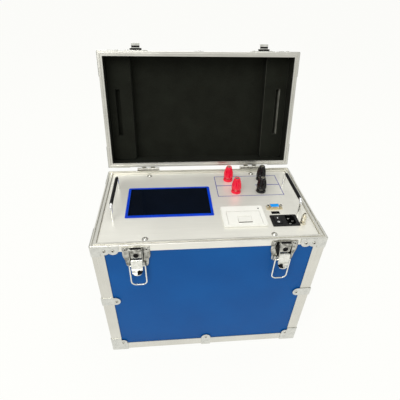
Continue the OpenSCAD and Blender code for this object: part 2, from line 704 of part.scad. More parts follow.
module display_board() color([0.1, 0.35, 0.2]) translate([screen_x, screen_y, z_panel - plate_t]) {
    hang_box(0, 0, screen_in_w + 2*glass_seat, screen_in_d + 2*glass_seat, lcd_h);
    translate([0, 0, -lcd_h]) hang_box(0, 0, screen_w + lcd_pcb_over, screen_d + lcd_pcb_over, lcd_pcb_t);
    translate([0, 0, -lcd_h - lcd_pcb_t]) {
        hang_box(-screen_w/4, 0, screen_w/4, screen_d/3, lcd_parts_h);
        hang_box(screen_w/5, screen_d/5, screen_w/8, screen_w/8, lcd_parts_h/2);
    }
}

// Printer: flange and paper bay, with a door hinged at the front
flange_h = 4;
flange_edge = 1;
flange_corner = 3;
bay_wall = 2;
bay_w = 62.8;
bay_d = 49;
bay_depth = 44;
bay_y = 0;
door_t = 3;
door_pin_r = 1;
door_pin_len = 3;
door_barrel_r = 1.5;
door_z = flange_h - door_barrel_r;
bay_front = bay_y - bay_d/2;
door_axis_y = bay_front + play + door_barrel_r;
paper_slot_y = 11.4;
paper_gap = 1.2;
door_w = bay_w - 2*play;
lamp_x = 31;
lamp_y = 19;
lamp_r = 1.3;
lamp_gap = 0.1;
lamp_up = 0.5;
module at_printer() translate([printer_x, printer_y, z_panel]) children();
module printer_housing() color([0.93, 0.93, 0.88]) at_printer() difference() {
    union() {
        round_plate(printer_w, printer_d, flange_corner, flange_h - flange_edge);
        round_plate(printer_w - 2*flange_edge, printer_d - 2*flange_edge, flange_corner, flange_h);
        translate([-bay_w/2 - bay_wall, bay_front - bay_wall, -bay_depth - bay_wall])
            cube([bay_w + 2*bay_wall, bay_d + 2*bay_wall, bay_depth + bay_wall + flange_edge]);
    }
    translate([-bay_w/2, bay_front, -bay_depth]) cube([bay_w, bay_d, bay_depth]);
    translate([-bay_w/2, bay_front, -past])
        cube([bay_w, paper_slot_y - bay_front + paper_gap, flange_h + 2*past]);
    translate([0, door_axis_y, door_z]) rod_x(bay_w + 2*door_pin_len, door_pin_r + run);
    translate([lamp_x, lamp_y, -head_gap - past])
        cylinder(r = lamp_r + lamp_gap, h = flange_h + head_gap + 2*past);
}
head_d = 11;
head_h = 14;
head_gap = 0.3;
head_plate_t = 2;
module printer_head() color([0.3, 0.3, 0.32]) at_printer() {
    translate([-door_w/2, bay_front + bay_d - head_d, -head_h - head_gap]) {
        cube([door_w, head_d, head_h]);
        for (y = [0, head_d - head_plate_t]) translate([0, y, -head_h]) cube([door_w, head_plate_t, head_h]);
        translate([0, -head_plate_t/2, head_h - 2*head_plate_t]) cube([door_w, head_d, head_plate_t]);
    }
    translate([lamp_x, lamp_y, -head_gap]) cylinder(r = lamp_r, h = flange_h + head_gap + lamp_up);
}
roll_r = 16;
roll_core_r = 6;
roll_w = 57;
roll_y = bay_front + roll_r + 1.5*head_gap;
module paper_roll() color([0.95, 0.95, 0.93]) at_printer() translate([0, roll_y, -bay_depth + roll_r])
    difference() {
        rod_x(roll_w, roll_r);
        rod_x(roll_w + past, roll_core_r);
    }
platen_r = 3.6;
platen_len = 56;
platen_y = 6.6;
platen_z = -3.6;
cheek_t = 2;
cheek_r = 2.4;
pull_w = 25;
pull_back = -3;
pull_d = 17;
pull_t = 2.2;
pull_pin_r = 0.8;
pull_pin_len = 2;
pull_up = 0.6;
pull_barrel_r = 1.2;
pull_axis_z = flange_h - pull_barrel_r - play;
pull_gap = 0.35;
module printer_door() color([0.93, 0.93, 0.88]) at_printer() difference() {
    union() {
        translate([0, door_axis_y, door_z]) {
            rod_x(door_w, door_barrel_r);
            rod_x(door_w + 2*door_pin_len, door_pin_r);
        }
        translate([-door_w/2, door_axis_y, flange_h - door_t])
            cube([door_w, paper_slot_y - door_axis_y, door_t]);
        for (e = [-1, 1]) translate([e*(platen_len/2 + cheek_t/2), platen_y, platen_z]) {
            rod_x(cheek_t, cheek_r);
            translate([-cheek_t/2, -cheek_r, 0]) cube([cheek_t, 2*cheek_r, flange_h - door_t/2 - platen_z]);
        }
        translate([0, platen_y, platen_z]) {
            rod_x(platen_len, platen_r);
            rod_x(platen_len + cheek_t, door_pin_r);
        }
    }
    translate([-pull_w/2 - pull_gap, pull_back - pull_d - pull_gap, pull_axis_z - pull_barrel_r - play])
        cube([pull_w + 2*pull_gap, pull_d + pull_barrel_r + 2*pull_gap, door_t + past]);
    translate([0, pull_back, pull_axis_z]) rod_x(pull_w + 2*pull_pin_len, pull_pin_r + run);
}
module printer_door_latch() color([0.95, 0.95, 0.92]) at_printer() {
    translate([0, pull_back, pull_axis_z]) {
        rod_x(pull_w, pull_barrel_r);
        rod_x(pull_w + 2*pull_pin_len - play, pull_pin_r);
    }
    translate([-pull_w/2, pull_back - pull_d, pull_axis_z - pull_barrel_r + play/2])
        cube([pull_w, pull_d, pull_t]);
    translate([-pull_w/2, pull_back - pull_d, pull_axis_z - pull_barrel_r + play/2])
        cube([pull_w, pull_t, pull_t + pull_up]);
}

// Serial socket
serial_w = 31;
serial_d = 12.5;
serial_flange_t = 1;
serial_shell_w = 18.4;
serial_shell_d = 10;
serial_slope = 1.2;
serial_shell_h = 6;
serial_shell_t = 0.5;
serial_body_h = 8;
serial_corner = 1.5;
insert_gap = 0.1;
insert_low = 0.6;
module d_shape(w, d, o) polygon([[-w/2 + o, d/2 - o], [w/2 - o, d/2 - o], [w/2 - serial_slope - o, -d/2 + o],
    [-w/2 + serial_slope + o, -d/2 + o]]);
module at_serial() translate([serial_x, serial_y, z_panel]) children();
module serial_shell() color([0.75, 0.66, 0.45]) at_serial() difference() {
    union() {
        round_plate(serial_w, serial_d, serial_corner, serial_flange_t);
        linear_extrude(serial_shell_h) d_shape(serial_shell_w, serial_shell_d, 0);
        translate([0, 0, -plate_t - past]) linear_extrude(plate_t + serial_flange_t)
            d_shape(serial_shell_w, serial_shell_d, 0);
        translate([-serial_w/2, -serial_d/2, -plate_t - serial_body_h])
            cube([serial_w, serial_d, serial_body_h]);
    }
    translate([0, 0, insert_low]) linear_extrude(serial_shell_h)
        d_shape(serial_shell_w, serial_shell_d, serial_shell_t);
    for (s = [-1, 1]) translate([s*jack_gap/2, 0, -plate_t - serial_body_h - past])
        cylinder(r = jack_shank_r + run, h = plate_t + serial_body_h + serial_flange_t + 2*past);
}
// Contact holes of the insert: a long and a short row
contact_pitch = 2.77;
contact_rows = 2.84;
contact_r = 0.55;
contact_depth = 4;
module contact_places() {
    for (k = [0:4]) translate([(k - 2)*contact_pitch, contact_rows/2, 0]) children();
    for (k = [0:3]) translate([(k - 3/2)*contact_pitch, -contact_rows/2, 0]) children();
}
module serial_insert() color([0.1, 0.6, 0.95]) at_serial() difference() {
    translate([0, 0, insert_low]) linear_extrude(serial_shell_h - insert_low - insert_gap)
        d_shape(serial_shell_w, serial_shell_d, serial_shell_t + insert_gap);
    contact_places() translate([0, 0, serial_shell_h - contact_depth])
        cylinder(r = contact_r, h = contact_depth);
}

// USB socket
usb_w = 15;
usb_d = 7;
usb_wall = 0.6;
usb_depth = 14;
usb_tongue_w = 11.6;
usb_tongue_t = 1.9;
usb_up = 0.3;
module usb_socket() color([0.08, 0.08, 0.09]) translate([usb_x, usb_y, z_panel + usb_up]) {
    difference() {
        translate([-usb_w/2, -usb_d/2, -usb_depth]) cube([usb_w, usb_d, usb_depth]);
        translate([-usb_w/2 + usb_wall, -usb_d/2 + usb_wall, -usb_depth + usb_d/2])
            cube([usb_w - 2*usb_wall, usb_d - 2*usb_wall, usb_depth]);
    }
    translate([-usb_tongue_w/2, usb_d/2 - usb_wall - usb_tongue_t, -usb_depth + usb_d/2 - usb_wall])
        cube([usb_tongue_w, usb_tongue_t/2, usb_depth - usb_d/2 - usb_up]);
}

// Mains inlet with a rocker switch on its left
inlet_w = 50;
inlet_d = 31;
inlet_lip = 1.5;
inlet_flange_h = 2;
inlet_edge = 0.6;
inlet_corner = 2;
inlet_body_h = 28;
socket_x = 10.8;
socket_w = 16.5;
socket_d = 24.6;
socket_depth = 16;
socket_cut = 4;
rocker_x = -12.9;
rocker_w = 12.6;
rocker_len = 18.8;
rocker_rise = 1.6;
rocker_dip = 1.2;
rocker_low = 3.4;
rocker_tilt = 7;
well_play = 0.9;
well_depth = 7;
rocker_pin_r = 1;
rocker_pin_len = 1.4;
module at_inlet() translate([inlet_x, inlet_y, z_panel]) children();
module inlet_housing() color([0.05, 0.05, 0.05]) at_inlet() difference() {
    union() {
        round_plate(inlet_w, inlet_d, inlet_corner, inlet_flange_h - inlet_edge);
        round_plate(inlet_w - 2*inlet_edge, inlet_d - 2*inlet_edge, inlet_corner, inlet_flange_h);
        translate([-inlet_w/2 + inlet_lip, -inlet_d/2 + inlet_lip, -inlet_body_h])
            cube([inlet_w - 2*inlet_lip, inlet_d - 2*inlet_lip, inlet_body_h + inlet_edge]);
    }
    translate([socket_x, 0, inlet_flange_h - socket_depth]) linear_extrude(socket_depth + past)
        polygon([[-socket_w/2, -socket_d/2], [socket_w/2 - socket_cut, -socket_d/2],
            [socket_w/2, -socket_d/2 + socket_cut], [socket_w/2, socket_d/2 - socket_cut],
            [socket_w/2 - socket_cut, socket_d/2], [-socket_w/2, socket_d/2]]);
    translate([rocker_x - rocker_w/2 - play, -rocker_len/2 - well_play, inlet_flange_h - well_depth])
        cube([rocker_w + 2*play, rocker_len + 2*well_play, well_depth + past]);
    translate([rocker_x, 0, 0]) rod_x(rocker_w + 2*play + 2*rocker_pin_len, rocker_pin_r + run);
    inlet_pin_places() translate([0, 0, -inlet_body_h - past]) pin_blade(pin_fit, inlet_body_h + past);
}
pin_gap = 14;
earth_off = 6;
pin_w = 4;
pin_t = 2;
pin_tail = 10;
pin_up = 12.5;
pin_fit = 0.05;
module inlet_pin_places() {
    for (s = [-1, 1]) translate([socket_x - earth_off/3, s*pin_gap/2, 0]) children();
    translate([socket_x + earth_off*2/3, 0, 0]) children();
}
module pin_blade(o, h) translate([-pin_w/2 - o, -pin_t/2 - o, 0]) cube([pin_w + 2*o, pin_t + 2*o, h]);
module inlet_pins() color([0.8, 0.8, 0.78]) at_inlet() inlet_pin_places()
    translate([0, 0, -inlet_body_h - pin_tail])
        pin_blade(0, inlet_body_h + pin_tail + inlet_flange_h - socket_depth + pin_up);
// Back half of the rocker's section: distance from its axis, then height
rocker_top = inlet_flange_h + rocker_rise;
rocker_half = [[0, rocker_top - rocker_dip], [rocker_len/2, rocker_top], [rocker_len/2, -rocker_dip/2],
    [rocker_len/5, -rocker_low], [0, -rocker_low]];
module rocker_switch() color([0.06, 0.06, 0.06]) at_inlet() translate([rocker_x, 0, 0])
    rotate([rocker_tilt, 0, 0]) {
        rotate([90, 0, 90]) translate([0, 0, -rocker_w/2]) linear_extrude(rocker_w)
            for (e = [-1, 1]) scale_x(e) polygon(rocker_half);
        rod_x(rocker_w + play + 2*rocker_pin_len, rocker_pin_r);
    }

// Terminals: a metal stud through an insulating collar, with a cap that screws down on it
collar_h = 5;
collar_flare = 0.8;
cap_low = 8.4;
neck_r = 5;
stud_drop = 22;
cross_r = 0.75;
nut_r = 8;
nut_h = 6;
nut_drop = 3;
washer_r = 9;
cap_foot_r = 9.9;
cap_grip_r = 9.5;
cap_shoulder_r = 8.2;
cap_top_r = 6;
cap_edge = 0.8;
flute_r = 3;
flutes = 6;
flute_in = 1.2;
flute_lean = 11;
post_tip = 2;
POSTS = [[-posts_back_gap/2, posts_back_y], [-posts_front_gap/2, posts_front_y],
    [posts_back_gap/2, posts_back_y], [posts_front_gap/2, posts_front_y]];
module at_post(k) translate([posts_x + POSTS[k][0], POSTS[k][1], z_panel]) children();
module post_places() for (k = [0:3]) at_post(k) children();
module collar(k) at_post(k) difference() {
    union() {
        cylinder(r = post_r, h = collar_flare);
        translate([0, 0, collar_flare])
            cylinder(r1 = post_r, r2 = post_r - collar_flare, h = collar_h - 2*collar_flare);
        translate([0, 0, collar_h - collar_flare]) cylinder(r = post_r - collar_flare, h = collar_flare);
        translate([0, 0, -plate_t]) cylinder(r = neck_r, h = plate_t + collar_flare);
        translate([0, 0, -plate_t - nut_drop]) cylinder(r = washer_r, h = nut_drop);
    }
    translate([0, 0, -stud_drop]) cylinder(r = stud_r + run, h = stud_drop + collar_h + past);
}
module red_collars() color([0.85, 0.05, 0.12]) for (k = [0, 1]) collar(k);
module black_collars() color([0.04, 0.04, 0.04]) for (k = [2, 3]) collar(k);
// Ground post: stud, washer and nuts
ground_r = 3;
ground_h = 22;
ground_plug_depth = 11;
ground_nut_r = 5.3;
ground_nut_h = 4;
ground_washer_r = 5.5;
ground_washer_t = 1;
ground_drop = 12;
thumb_r = 4.2;
thumb_h = 10;
thumb_low = 7;
knurl_h = 3;
knurl_out = 0.5;
knurl_r = 1;
knurls = 12;
module terminal_studs() color([0.8, 0.68, 0.4]) {
    post_places() {
        difference() {
            union() {
                translate([0, 0, -stud_drop]) cylinder(r = stud_r, h = stud_drop + post_h - post_tip);
                translate([0, 0, collar_h]) cylinder(r = stud_r + post_tip, h = (cap_low - collar_h)/2);
            }
            translate([0, 0, post_h - post_tip - plug_depth]) cylinder(r = plug_r, h = plug_depth + past);
            translate([0, post_r, cap_low - cross_r - run]) rotate([90, 0, 0])
                cylinder(r = cross_r, h = 2*post_r);
        }
        translate([0, 0, -plate_t - nut_drop - nut_h]) difference() {
            cylinder(r = nut_r, h = nut_h, $fn = 6);
            translate([0, 0, -past]) cylinder(r = stud_r + run, h = nut_h + 2*past);
        }
    }
    translate([ground_x, ground_y, z_panel]) {
        difference() {
            translate([0, 0, -ground_drop]) cylinder(r = ground_r, h = ground_drop + ground_h);
            translate([0, 0, ground_h - ground_plug_depth])
                cylinder(r = plug_r, h = ground_plug_depth + past);
        }
        difference() {
            union() {
                cylinder(r = ground_washer_r, h = ground_washer_t);
                cylinder(r = ground_nut_r, h = ground_washer_t + ground_nut_h, $fn = 6);
            }
            translate([0, 0, -past])
                cylinder(r = ground_r + run, h = ground_nut_h + ground_washer_t + 2*past);
        }
        translate([0, 0, -plate_t - ground_nut_h]) difference() {
            cylinder(r = ground_nut_r, h = ground_nut_h, $fn = 6);
            translate([0, 0, -past]) cylinder(r = ground_r + run, h = ground_nut_h + 2*past);
        }
    }
}
module ground_nut() color([0.8, 0.66, 0.36]) translate([ground_x, ground_y, z_panel + thumb_low])
    difference() {
        union() {
            cylinder(r = thumb_r, h = thumb_h);
            for (z = [0, thumb_h - knurl_h]) translate([0, 0, z])
                cylinder(r = thumb_r + knurl_out, h = knurl_h);
        }
        translate([0, 0, -past]) cylinder(r = ground_r + run, h = thumb_h + 2*past);
        for (k = [0:knurls - 1]) rotate([0, 0, k*360/knurls])
            translate([thumb_r + knurl_out/2 + knurl_r, 0, thumb_h - knurl_h - knurl_out])
                cylinder(r = knurl_r, h = knurl_h + knurl_out + past);
    }
// Cap: a bullet-shaped knob, its outline listed from its foot to its round top
cap_h = post_h - cap_low;
cap_height_shares = [0, 0.03, 0.3, 0.61, 0.84, 0.96, 1];
cap_radii = [cap_foot_r - cap_edge, cap_foot_r, cap_grip_r, cap_shoulder_r, cap_top_r + cap_edge, cap_top_r,
    cap_top_r - cap_edge];
flute_share = 0.24;
module cap(k) at_post(k) translate([0, 0, cap_low]) difference() {
    rotate_extrude() polygon(concat([[0, 0]], [for (i = [0:len(cap_radii) - 1])
        [cap_radii[i], cap_height_shares[i]*cap_h]], [[0, cap_h]]));
    translate([0, 0, -past]) cylinder(r = stud_r + run, h = cap_h + 2*past);
    for (f = [0:flutes - 1]) rotate([0, 0, f*360/flutes])
        translate([cap_grip_r + flute_r - flute_in, 0, flute_share*cap_h]) rotate([0, -flute_lean, 0])
            cylinder(r = flute_r, h = cap_h);
}
module red_cap_back() color([0.9, 0.04, 0.14]) cap(0);
module red_cap_front() color([0.9, 0.04, 0.14]) cap(1);
module black_cap_back() color([0.05, 0.05, 0.05]) cap(2);
module black_cap_front() color([0.05, 0.05, 0.05]) cap(3);

// Carrying handles
handle_bend = 8;
grip_r = 3.1;
grip_play = 0.05;
module at_handle(s) translate([s*handle_x, handle_y, z_panel]) children();
module scale_y(s) mirror([0, s > 0 ? 1 : 0, 0]) children();
// The straight part of the bar, as a cylinder of radius r
module handle_bar_rod(r) translate([0, handle_gap/2 - handle_bend, handle_h]) rotate([90, 0, 0])
    cylinder(r = r, h = handle_gap - 2*handle_bend);
module handle_rods() color([0.82, 0.82, 0.82]) for (s = [-1, 1]) at_handle(s) difference() {
    union() {
        for (e = [-1, 1]) scale_y(e) translate([0, -handle_gap/2, 0]) {
            cylinder(r = handle_bar/2, h = handle_h - handle_bend);
            translate([0, handle_bend, handle_h - handle_bend]) rotate([0, -90, 0]) rotate([0, 0, -90])
                rotate_extrude(angle = 90) translate([handle_bend, 0]) circle(handle_bar/2);
        }
        handle_bar_rod(handle_bar/2);
    }
    for (e = [-1, 1]) translate([0, e*handle_gap/2, -past])
        cylinder(r = hscrew_r + run, h = hscrew_len + 2*past);
}
module handle_grips() color([0.05, 0.05, 0.05]) for (s = [-1, 1]) at_handle(s) difference() {
    handle_bar_rod(grip_r);
    translate([0, handle_gap/2, handle_h]) rotate([90, 0, 0])
        cylinder(r = handle_bar/2 + grip_play, h = handle_gap);
}

// Chassis inside the case
tray_in = 6;
tray_t = 1.5;
tray_lip = 14;
tray_z = foot_h + trim_t + wall_t;
tray_w = case_w - 2*inner_in - 2*tray_in;
tray_d = case_d - 2*inner_in - 2*tray_in;
standoff_r = 3;
standoff_h = 8;
// The board fills the left half of the tray, between these margins
board_side = 11.5;
board_mid = 5;
board_edge = 28.5;
board_w = tray_w/2 - board_side - board_mid;
board_d = tray_d - 2*board_edge;
board_t = 1.6;
board_hole_in = 8;
board_parts_h = 20;
// Parts on the measuring board: place and size as shares of the board, height as a share of the tallest
board_part_shares = [[-0.28, 0.2, 0.2, 0.22, 0.45], [0.05, 0.25, 0.16, 0.16, 0.7], [0.3, -0.1, 0.14, 0.5, 1],
    [-0.2, -0.22, 0.3, 0.2, 0.3]];
// The power supply fills the tray's front right quarter, between these margins
psu_side = 24.5;
psu_mid = 2;
psu_front = 11.5;
psu_back = 12;
psu_h = 38;
trafo_r = 28;
trafo_h = 52;
trafo_side = 4.5;
trafo_back = 27.5;
trafo_gap = 6;
// The heat sink fills the back right quarter up to the transformer
sink_front = 8;
sink_back = 15.5;
sink_base = 8;
sink_h = 45;
sink_w = tray_w/2 - trafo_side - 2*trafo_r - trafo_gap;
fins = 10;
fin_t = 2.5;
trafo_hole_r = 8;
trafo_bolt_r = 3;
trafo_cap_r = 18;
trafo_cap_t = 2;
module chassis_tray() color([0.7, 0.72, 0.74]) translate([0, 0, tray_z]) difference() {
    translate([-tray_w/2, -tray_d/2, 0]) cube([tray_w, tray_d, tray_lip]);
    translate([-tray_w/2 + tray_t, -tray_d/2 + tray_t, tray_t])
        cube([tray_w - 2*tray_t, tray_d - 2*tray_t, tray_lip]);
}
module on_tray(x, y) translate([x, y, tray_z + tray_t]) children();
module on_board() on_tray(-board_mid - board_w/2, 0) children();
module board_standoffs() color([0.8, 0.7, 0.4]) for (sx = [-1, 1], sy = [-1, 1])
    on_board() translate([sx*(board_w/2 - board_hole_in), sy*(board_d/2 - board_hole_in), 0])
        cylinder(r = standoff_r, h = standoff_h, $fn = 6);
module measuring_board() color([0.05, 0.35, 0.2]) on_board() translate([0, 0, standoff_h]) {
    translate([-board_w/2, -board_d/2, 0]) cube([board_w, board_d, board_t]);
    for (p = board_part_shares) translate([(p[0] - p[2]/2)*board_w, (p[1] - p[3]/2)*board_d, board_t/2])
        cube([p[2]*board_w, p[3]*board_d, p[4]*board_parts_h + board_t/2]);
}
module power_supply() color([0.75, 0.76, 0.76]) on_tray(psu_mid, -tray_d/2 + psu_front)
    cube([tray_w/2 - psu_mid - psu_side, tray_d/2 - psu_front - psu_back, psu_h]);
module heat_sink() color([0.25, 0.25, 0.27]) on_tray(0, sink_front) {
    sink_d = tray_d/2 - sink_front - sink_back;
    cube([sink_w, sink_d, sink_base]);
    for (f = [0:fins - 1]) translate([f*(sink_w - fin_t)/(fins - 1), 0, sink_base/2])
        cube([fin_t, sink_d, sink_h - sink_base/2]);
}
module mains_transformer() color([0.75, 0.45, 0.15])
    on_tray(tray_w/2 - trafo_side - trafo_r, tray_d/2 - trafo_back - trafo_r) {
    difference() {
        cylinder(r = trafo_r, h = trafo_h);
        translate([0, 0, -past]) cylinder(r = trafo_hole_r, h = trafo_h + 2*past);
    }
    translate([0, 0, trafo_h]) cylinder(r = trafo_cap_r, h = trafo_cap_t);
    cylinder(r = trafo_bolt_r, h = trafo_h + 2*trafo_cap_t);
}

// Lid pieces
module lid_top_panel() color([0.1, 0.33, 0.62]) in_lid() box_end_panel(lid_h);
module lid_wall_panels() color([0.1, 0.33, 0.62]) in_lid() box_walls(lid_h, false);
module lid_edge_trims() color([0.78, 0.79, 0.8]) in_lid() box_trims(lid_h);
module lid_rim_frame() color([0.86, 0.86, 0.84]) in_lid() difference() {
    lid_rim();
    rivet_holes(lid_h, false);
}
lid_arm_v = 34;
module lid_corner_braces() color([0.7, 0.71, 0.7]) in_lid() difference() {
    box_braces(lid_h, lid_arm_v);
    rivet_holes(lid_h, false);
}
module lid_edge_clips() color([0.7, 0.71, 0.7]) in_lid() difference() {
    end_clips(lid_h);
    rivet_holes(lid_h, false);
}
module lid_rivets() color([0.6, 0.6, 0.6]) in_lid() rivets(lid_h, false);
lining_depth = lid_h - inner_in - lining_t;
module lid_lining() color([0.07, 0.07, 0.07]) in_lid() difference() {
    translate([-case_w/2 + inner_in, -case_d/2 + inner_in, -lid_h + inner_in])
        cube([case_w - 2*inner_in, case_d - 2*inner_in, lid_h - inner_in - rim_flange]);
    translate([-case_w/2 + inner_in + lining_t, -case_d/2 + inner_in + lining_t, -lining_depth])
        cube([case_w - 2*inner_in - 2*lining_t, case_d - 2*inner_in - 2*lining_t, lining_depth]);
}
block_corner = 6;
block_gap = 0.3;
module lid_foam_blocks() color([0.09, 0.09, 0.09]) in_lid() for (s = [-1, 1]) {
    w = case_w/2 - inner_in - lining_t - block_gap - block_x;
    d = case_d - 2*inner_in - 2*lining_t - 2*block_gap;
    difference() {
        translate([s*(block_x + w/2), 0, -lining_depth])
            round_plate(w, d, block_corner, lining_depth - block_drop);
        translate([s*handle_x - slot_w/2, handle_y - slot_len/2, -block_drop - slot_depth])
            cube([slot_w, slot_len, slot_depth + past]);
    }
}

// Catches on the lid's front: a plate and a tongue that the bail hooks over
catch_h = 20;
tongue_len = 12.5;
tongue_root_w = 23;
tongue_w = 16;
tongue_root = 4;
hook_h = 5;
hook_t = 1.5;
module catch(s) on_latch(s) {
    translate([-latch_w/2, brace_top_gap, 0]) cube([latch_w, catch_h, latch_t]);
    translate([-tongue_root_w/2, tongue_z, 0]) cube([tongue_root_w, tongue_t, latch_t + tongue_root]);
    translate([-tongue_w/2, tongue_z, 0]) {
        cube([tongue_w, tongue_t, latch_t + tongue_len]);
        translate([0, 0, latch_t + tongue_len - hook_t]) cube([tongue_w, tongue_t + hook_h, hook_t]);
    }
}
module lid_catches() color([0.72, 0.72, 0.7]) difference() {
    swing_lid() translate([0, 0, seal_gap]) for (s = [-1, 1]) catch(s);
    in_lid() rivet_holes(lid_h, false);
}

case_wall_panels();
case_base_panel();
case_edge_trims();
case_rim_frame();
case_corner_braces();
case_edge_clips();
case_rivets();
rubber_feet();
machine_screws();
hinge_case_leaves();
pivot_pins();
latch_plates();
instrument_panel();
panel_support_frame();
screen_frame();
screen_glass();
display_board();
printer_housing();
printer_head();
paper_roll();
serial_shell();
serial_insert();
usb_socket();
inlet_housing();
inlet_pins();
terminal_studs();
red_collars();
black_collars();
handle_rods();
handle_grips();
chassis_tray();
board_standoffs();
measuring_board();
power_supply();
heat_sink();
mains_transformer();
lid_top_panel();
lid_wall_panels();
lid_edge_trims();
lid_rim_frame();
lid_corner_braces();
lid_edge_clips();
lid_rivets();
lid_lining();
lid_foam_blocks();
lid_catches();
hinge_lid_leaves();
latch_lever_left();
latch_lever_right();
latch_bail_left();
latch_bail_right();
printer_door();
printer_door_latch();
rocker_switch();
red_cap_back();
red_cap_front();
black_cap_back();
black_cap_front();
ground_nut();
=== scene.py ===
import json
import math
import bmesh
import bpy
from mathutils import Matrix, Vector, noise

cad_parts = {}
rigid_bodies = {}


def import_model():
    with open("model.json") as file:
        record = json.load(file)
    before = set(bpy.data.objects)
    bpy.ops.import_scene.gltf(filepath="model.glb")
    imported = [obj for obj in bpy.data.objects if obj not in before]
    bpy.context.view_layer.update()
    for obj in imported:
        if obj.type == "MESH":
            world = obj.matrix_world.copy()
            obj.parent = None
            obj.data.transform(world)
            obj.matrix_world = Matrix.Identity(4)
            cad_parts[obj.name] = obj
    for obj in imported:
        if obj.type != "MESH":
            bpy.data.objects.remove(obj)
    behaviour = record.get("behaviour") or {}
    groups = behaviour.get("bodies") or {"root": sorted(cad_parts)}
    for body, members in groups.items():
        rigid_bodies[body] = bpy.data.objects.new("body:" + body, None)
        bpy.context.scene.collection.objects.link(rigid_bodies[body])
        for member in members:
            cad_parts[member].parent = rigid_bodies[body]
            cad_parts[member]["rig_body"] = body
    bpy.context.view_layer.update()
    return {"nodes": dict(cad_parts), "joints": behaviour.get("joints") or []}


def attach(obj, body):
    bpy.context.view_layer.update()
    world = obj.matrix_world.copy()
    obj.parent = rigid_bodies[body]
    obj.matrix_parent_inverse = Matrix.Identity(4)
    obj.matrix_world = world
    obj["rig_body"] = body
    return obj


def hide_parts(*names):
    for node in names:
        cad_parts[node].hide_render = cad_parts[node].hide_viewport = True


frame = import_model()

# Camera
# A short lens held above the front of the bench, a little left of the middle.
# It looks down on the panel and into the open lid.
eye = (-0.06318, -0.50888, 0.68922)
yaw, down, roll = 5.93711, 36.3737, 1.8706
viewpoint = bpy.data.objects.new("viewpoint", bpy.data.cameras.new("viewpoint"))
viewpoint.data.sensor_width = 36
viewpoint.data.lens = 29.58
viewpoint.data.clip_start = 0.01
viewpoint.matrix_world = (Matrix.Translation(eye)
                          @ Matrix.Rotation(math.radians(-yaw), 4, "Z")
                          @ Matrix.Rotation(math.radians(90 - down), 4, "X")
                          @ Matrix.Rotation(math.radians(roll), 4, "Z"))
bpy.context.scene.collection.objects.link(viewpoint)
bpy.context.scene.camera = viewpoint
bpy.context.scene.view_settings.view_transform = "Standard"


# Studio
# A white sweep of floor under broad soft boxes, as in a product studio.
# The floor shows white to the lens and in gloss, and keeps the case's shadow.
def srgb(code):
    """Linear colour of a hex value such as #215c9b"""
    parts = [int(code[i:i + 2], 16) / 255 for i in (1, 3, 5)]
    return tuple(p / 12.92 if p <= 0.04045 else ((p + 0.055) / 1.055) ** 2.4 for p in parts) + (1.0,)


def add_node(tree, kind, settings=None, links=None):
    """Add a shader node with its settings and the outputs that feed it"""
    node = tree.nodes.new("ShaderNode" + kind)
    for key, value in (settings or {}).items():
        if isinstance(key, int) or key in node.inputs:
            node.inputs[key].default_value = value
        else:
            setattr(node, key, value)
    for key, source in (links or {}).items():
        tree.links.new(source, node.inputs[key])
    return node


def add_lamp(name, place, aim, size, watts):
    """Hang a square soft box that faces a point"""
    lamp = bpy.data.objects.new(name, bpy.data.lights.new(name, "AREA"))
    lamp.data.size = size
    lamp.data.energy = watts
    direction = Vector(aim) - Vector(place)
    lamp.matrix_world = Matrix.Translation(place) @ direction.to_track_quat("-Z", "Y").to_matrix().to_4x4()
    bpy.context.scene.collection.objects.link(lamp)


def seen_rays(tree, gloss_share=1):
    """1 for the rays that show a surface to the lens or through glass, and a share of it in gloss"""
    rays = add_node(tree, "LightPath")
    part = add_node(tree, "Math", {"operation": "MULTIPLY", 1: gloss_share},
                    {0: rays.outputs["Is Glossy Ray"]})
    gloss = add_node(tree, "Math", {"operation": "MAXIMUM"},
                     {0: rays.outputs["Is Camera Ray"], 1: part.outputs[0]})
    both = add_node(tree, "Math", {"operation": "MAXIMUM"},
                    {0: gloss.outputs[0], 1: rays.outputs["Is Transmission Ray"]})
    return both.outputs[0]


floor_white = bpy.data.materials.new("painted_floor")
floor_white.use_nodes = True
tree = floor_white.node_tree
paint = tree.nodes["Principled BSDF"]
paint.inputs["Base Color"].default_value = srgb("#f2f2ef")
paint.inputs["Roughness"].default_value = 1
paint.inputs["Specular IOR Level"].default_value = 0
glow = add_node(tree, "Emission", {"Color": srgb("#fffffc"), "Strength": 1})
share = add_node(tree, "Math", {"operation": "MULTIPLY", 1: 0.94}, {0: seen_rays(tree)})
blend = add_node(tree, "MixShader", {}, {0: share.outputs[0], 1: paint.outputs[0], 2: glow.outputs[0]})
tree.links.new(blend.outputs[0], tree.nodes["Material Output"].inputs["Surface"])
shape = bmesh.new()
bmesh.ops.create_circle(shape, cap_ends=True, radius=14, segments=96)
floor = bpy.data.objects.new("floor", bpy.data.meshes.new("floor"))
shape.to_mesh(floor.data)
shape.free()
floor.data.materials.append(floor_white)
bpy.context.scene.collection.objects.link(floor)

world = bpy.data.worlds.new("white_room")
world.use_nodes = True
bpy.context.scene.world = world
tree = world.node_tree
room = tree.nodes["Background"]
room.inputs["Color"].default_value = srgb("#fefffd")
level = add_node(tree, "MapRange", {"To Min": 0.5, "To Max": 1}, {"Value": seen_rays(tree, 0.4)})
tree.links.new(level.outputs["Result"], room.inputs["Strength"])
add_lamp("key_box", (-0.9, -1.5, 1.9), (0, 0, 0.3), 1.1, 22)
add_lamp("fill_box", (1.7, -1.0, 1.3), (0, 0, 0.25), 1.1, 1.5)
add_lamp("top_box", (0.1, 0.2, 2.3), (0, 0, 0.3), 1.2, 15)


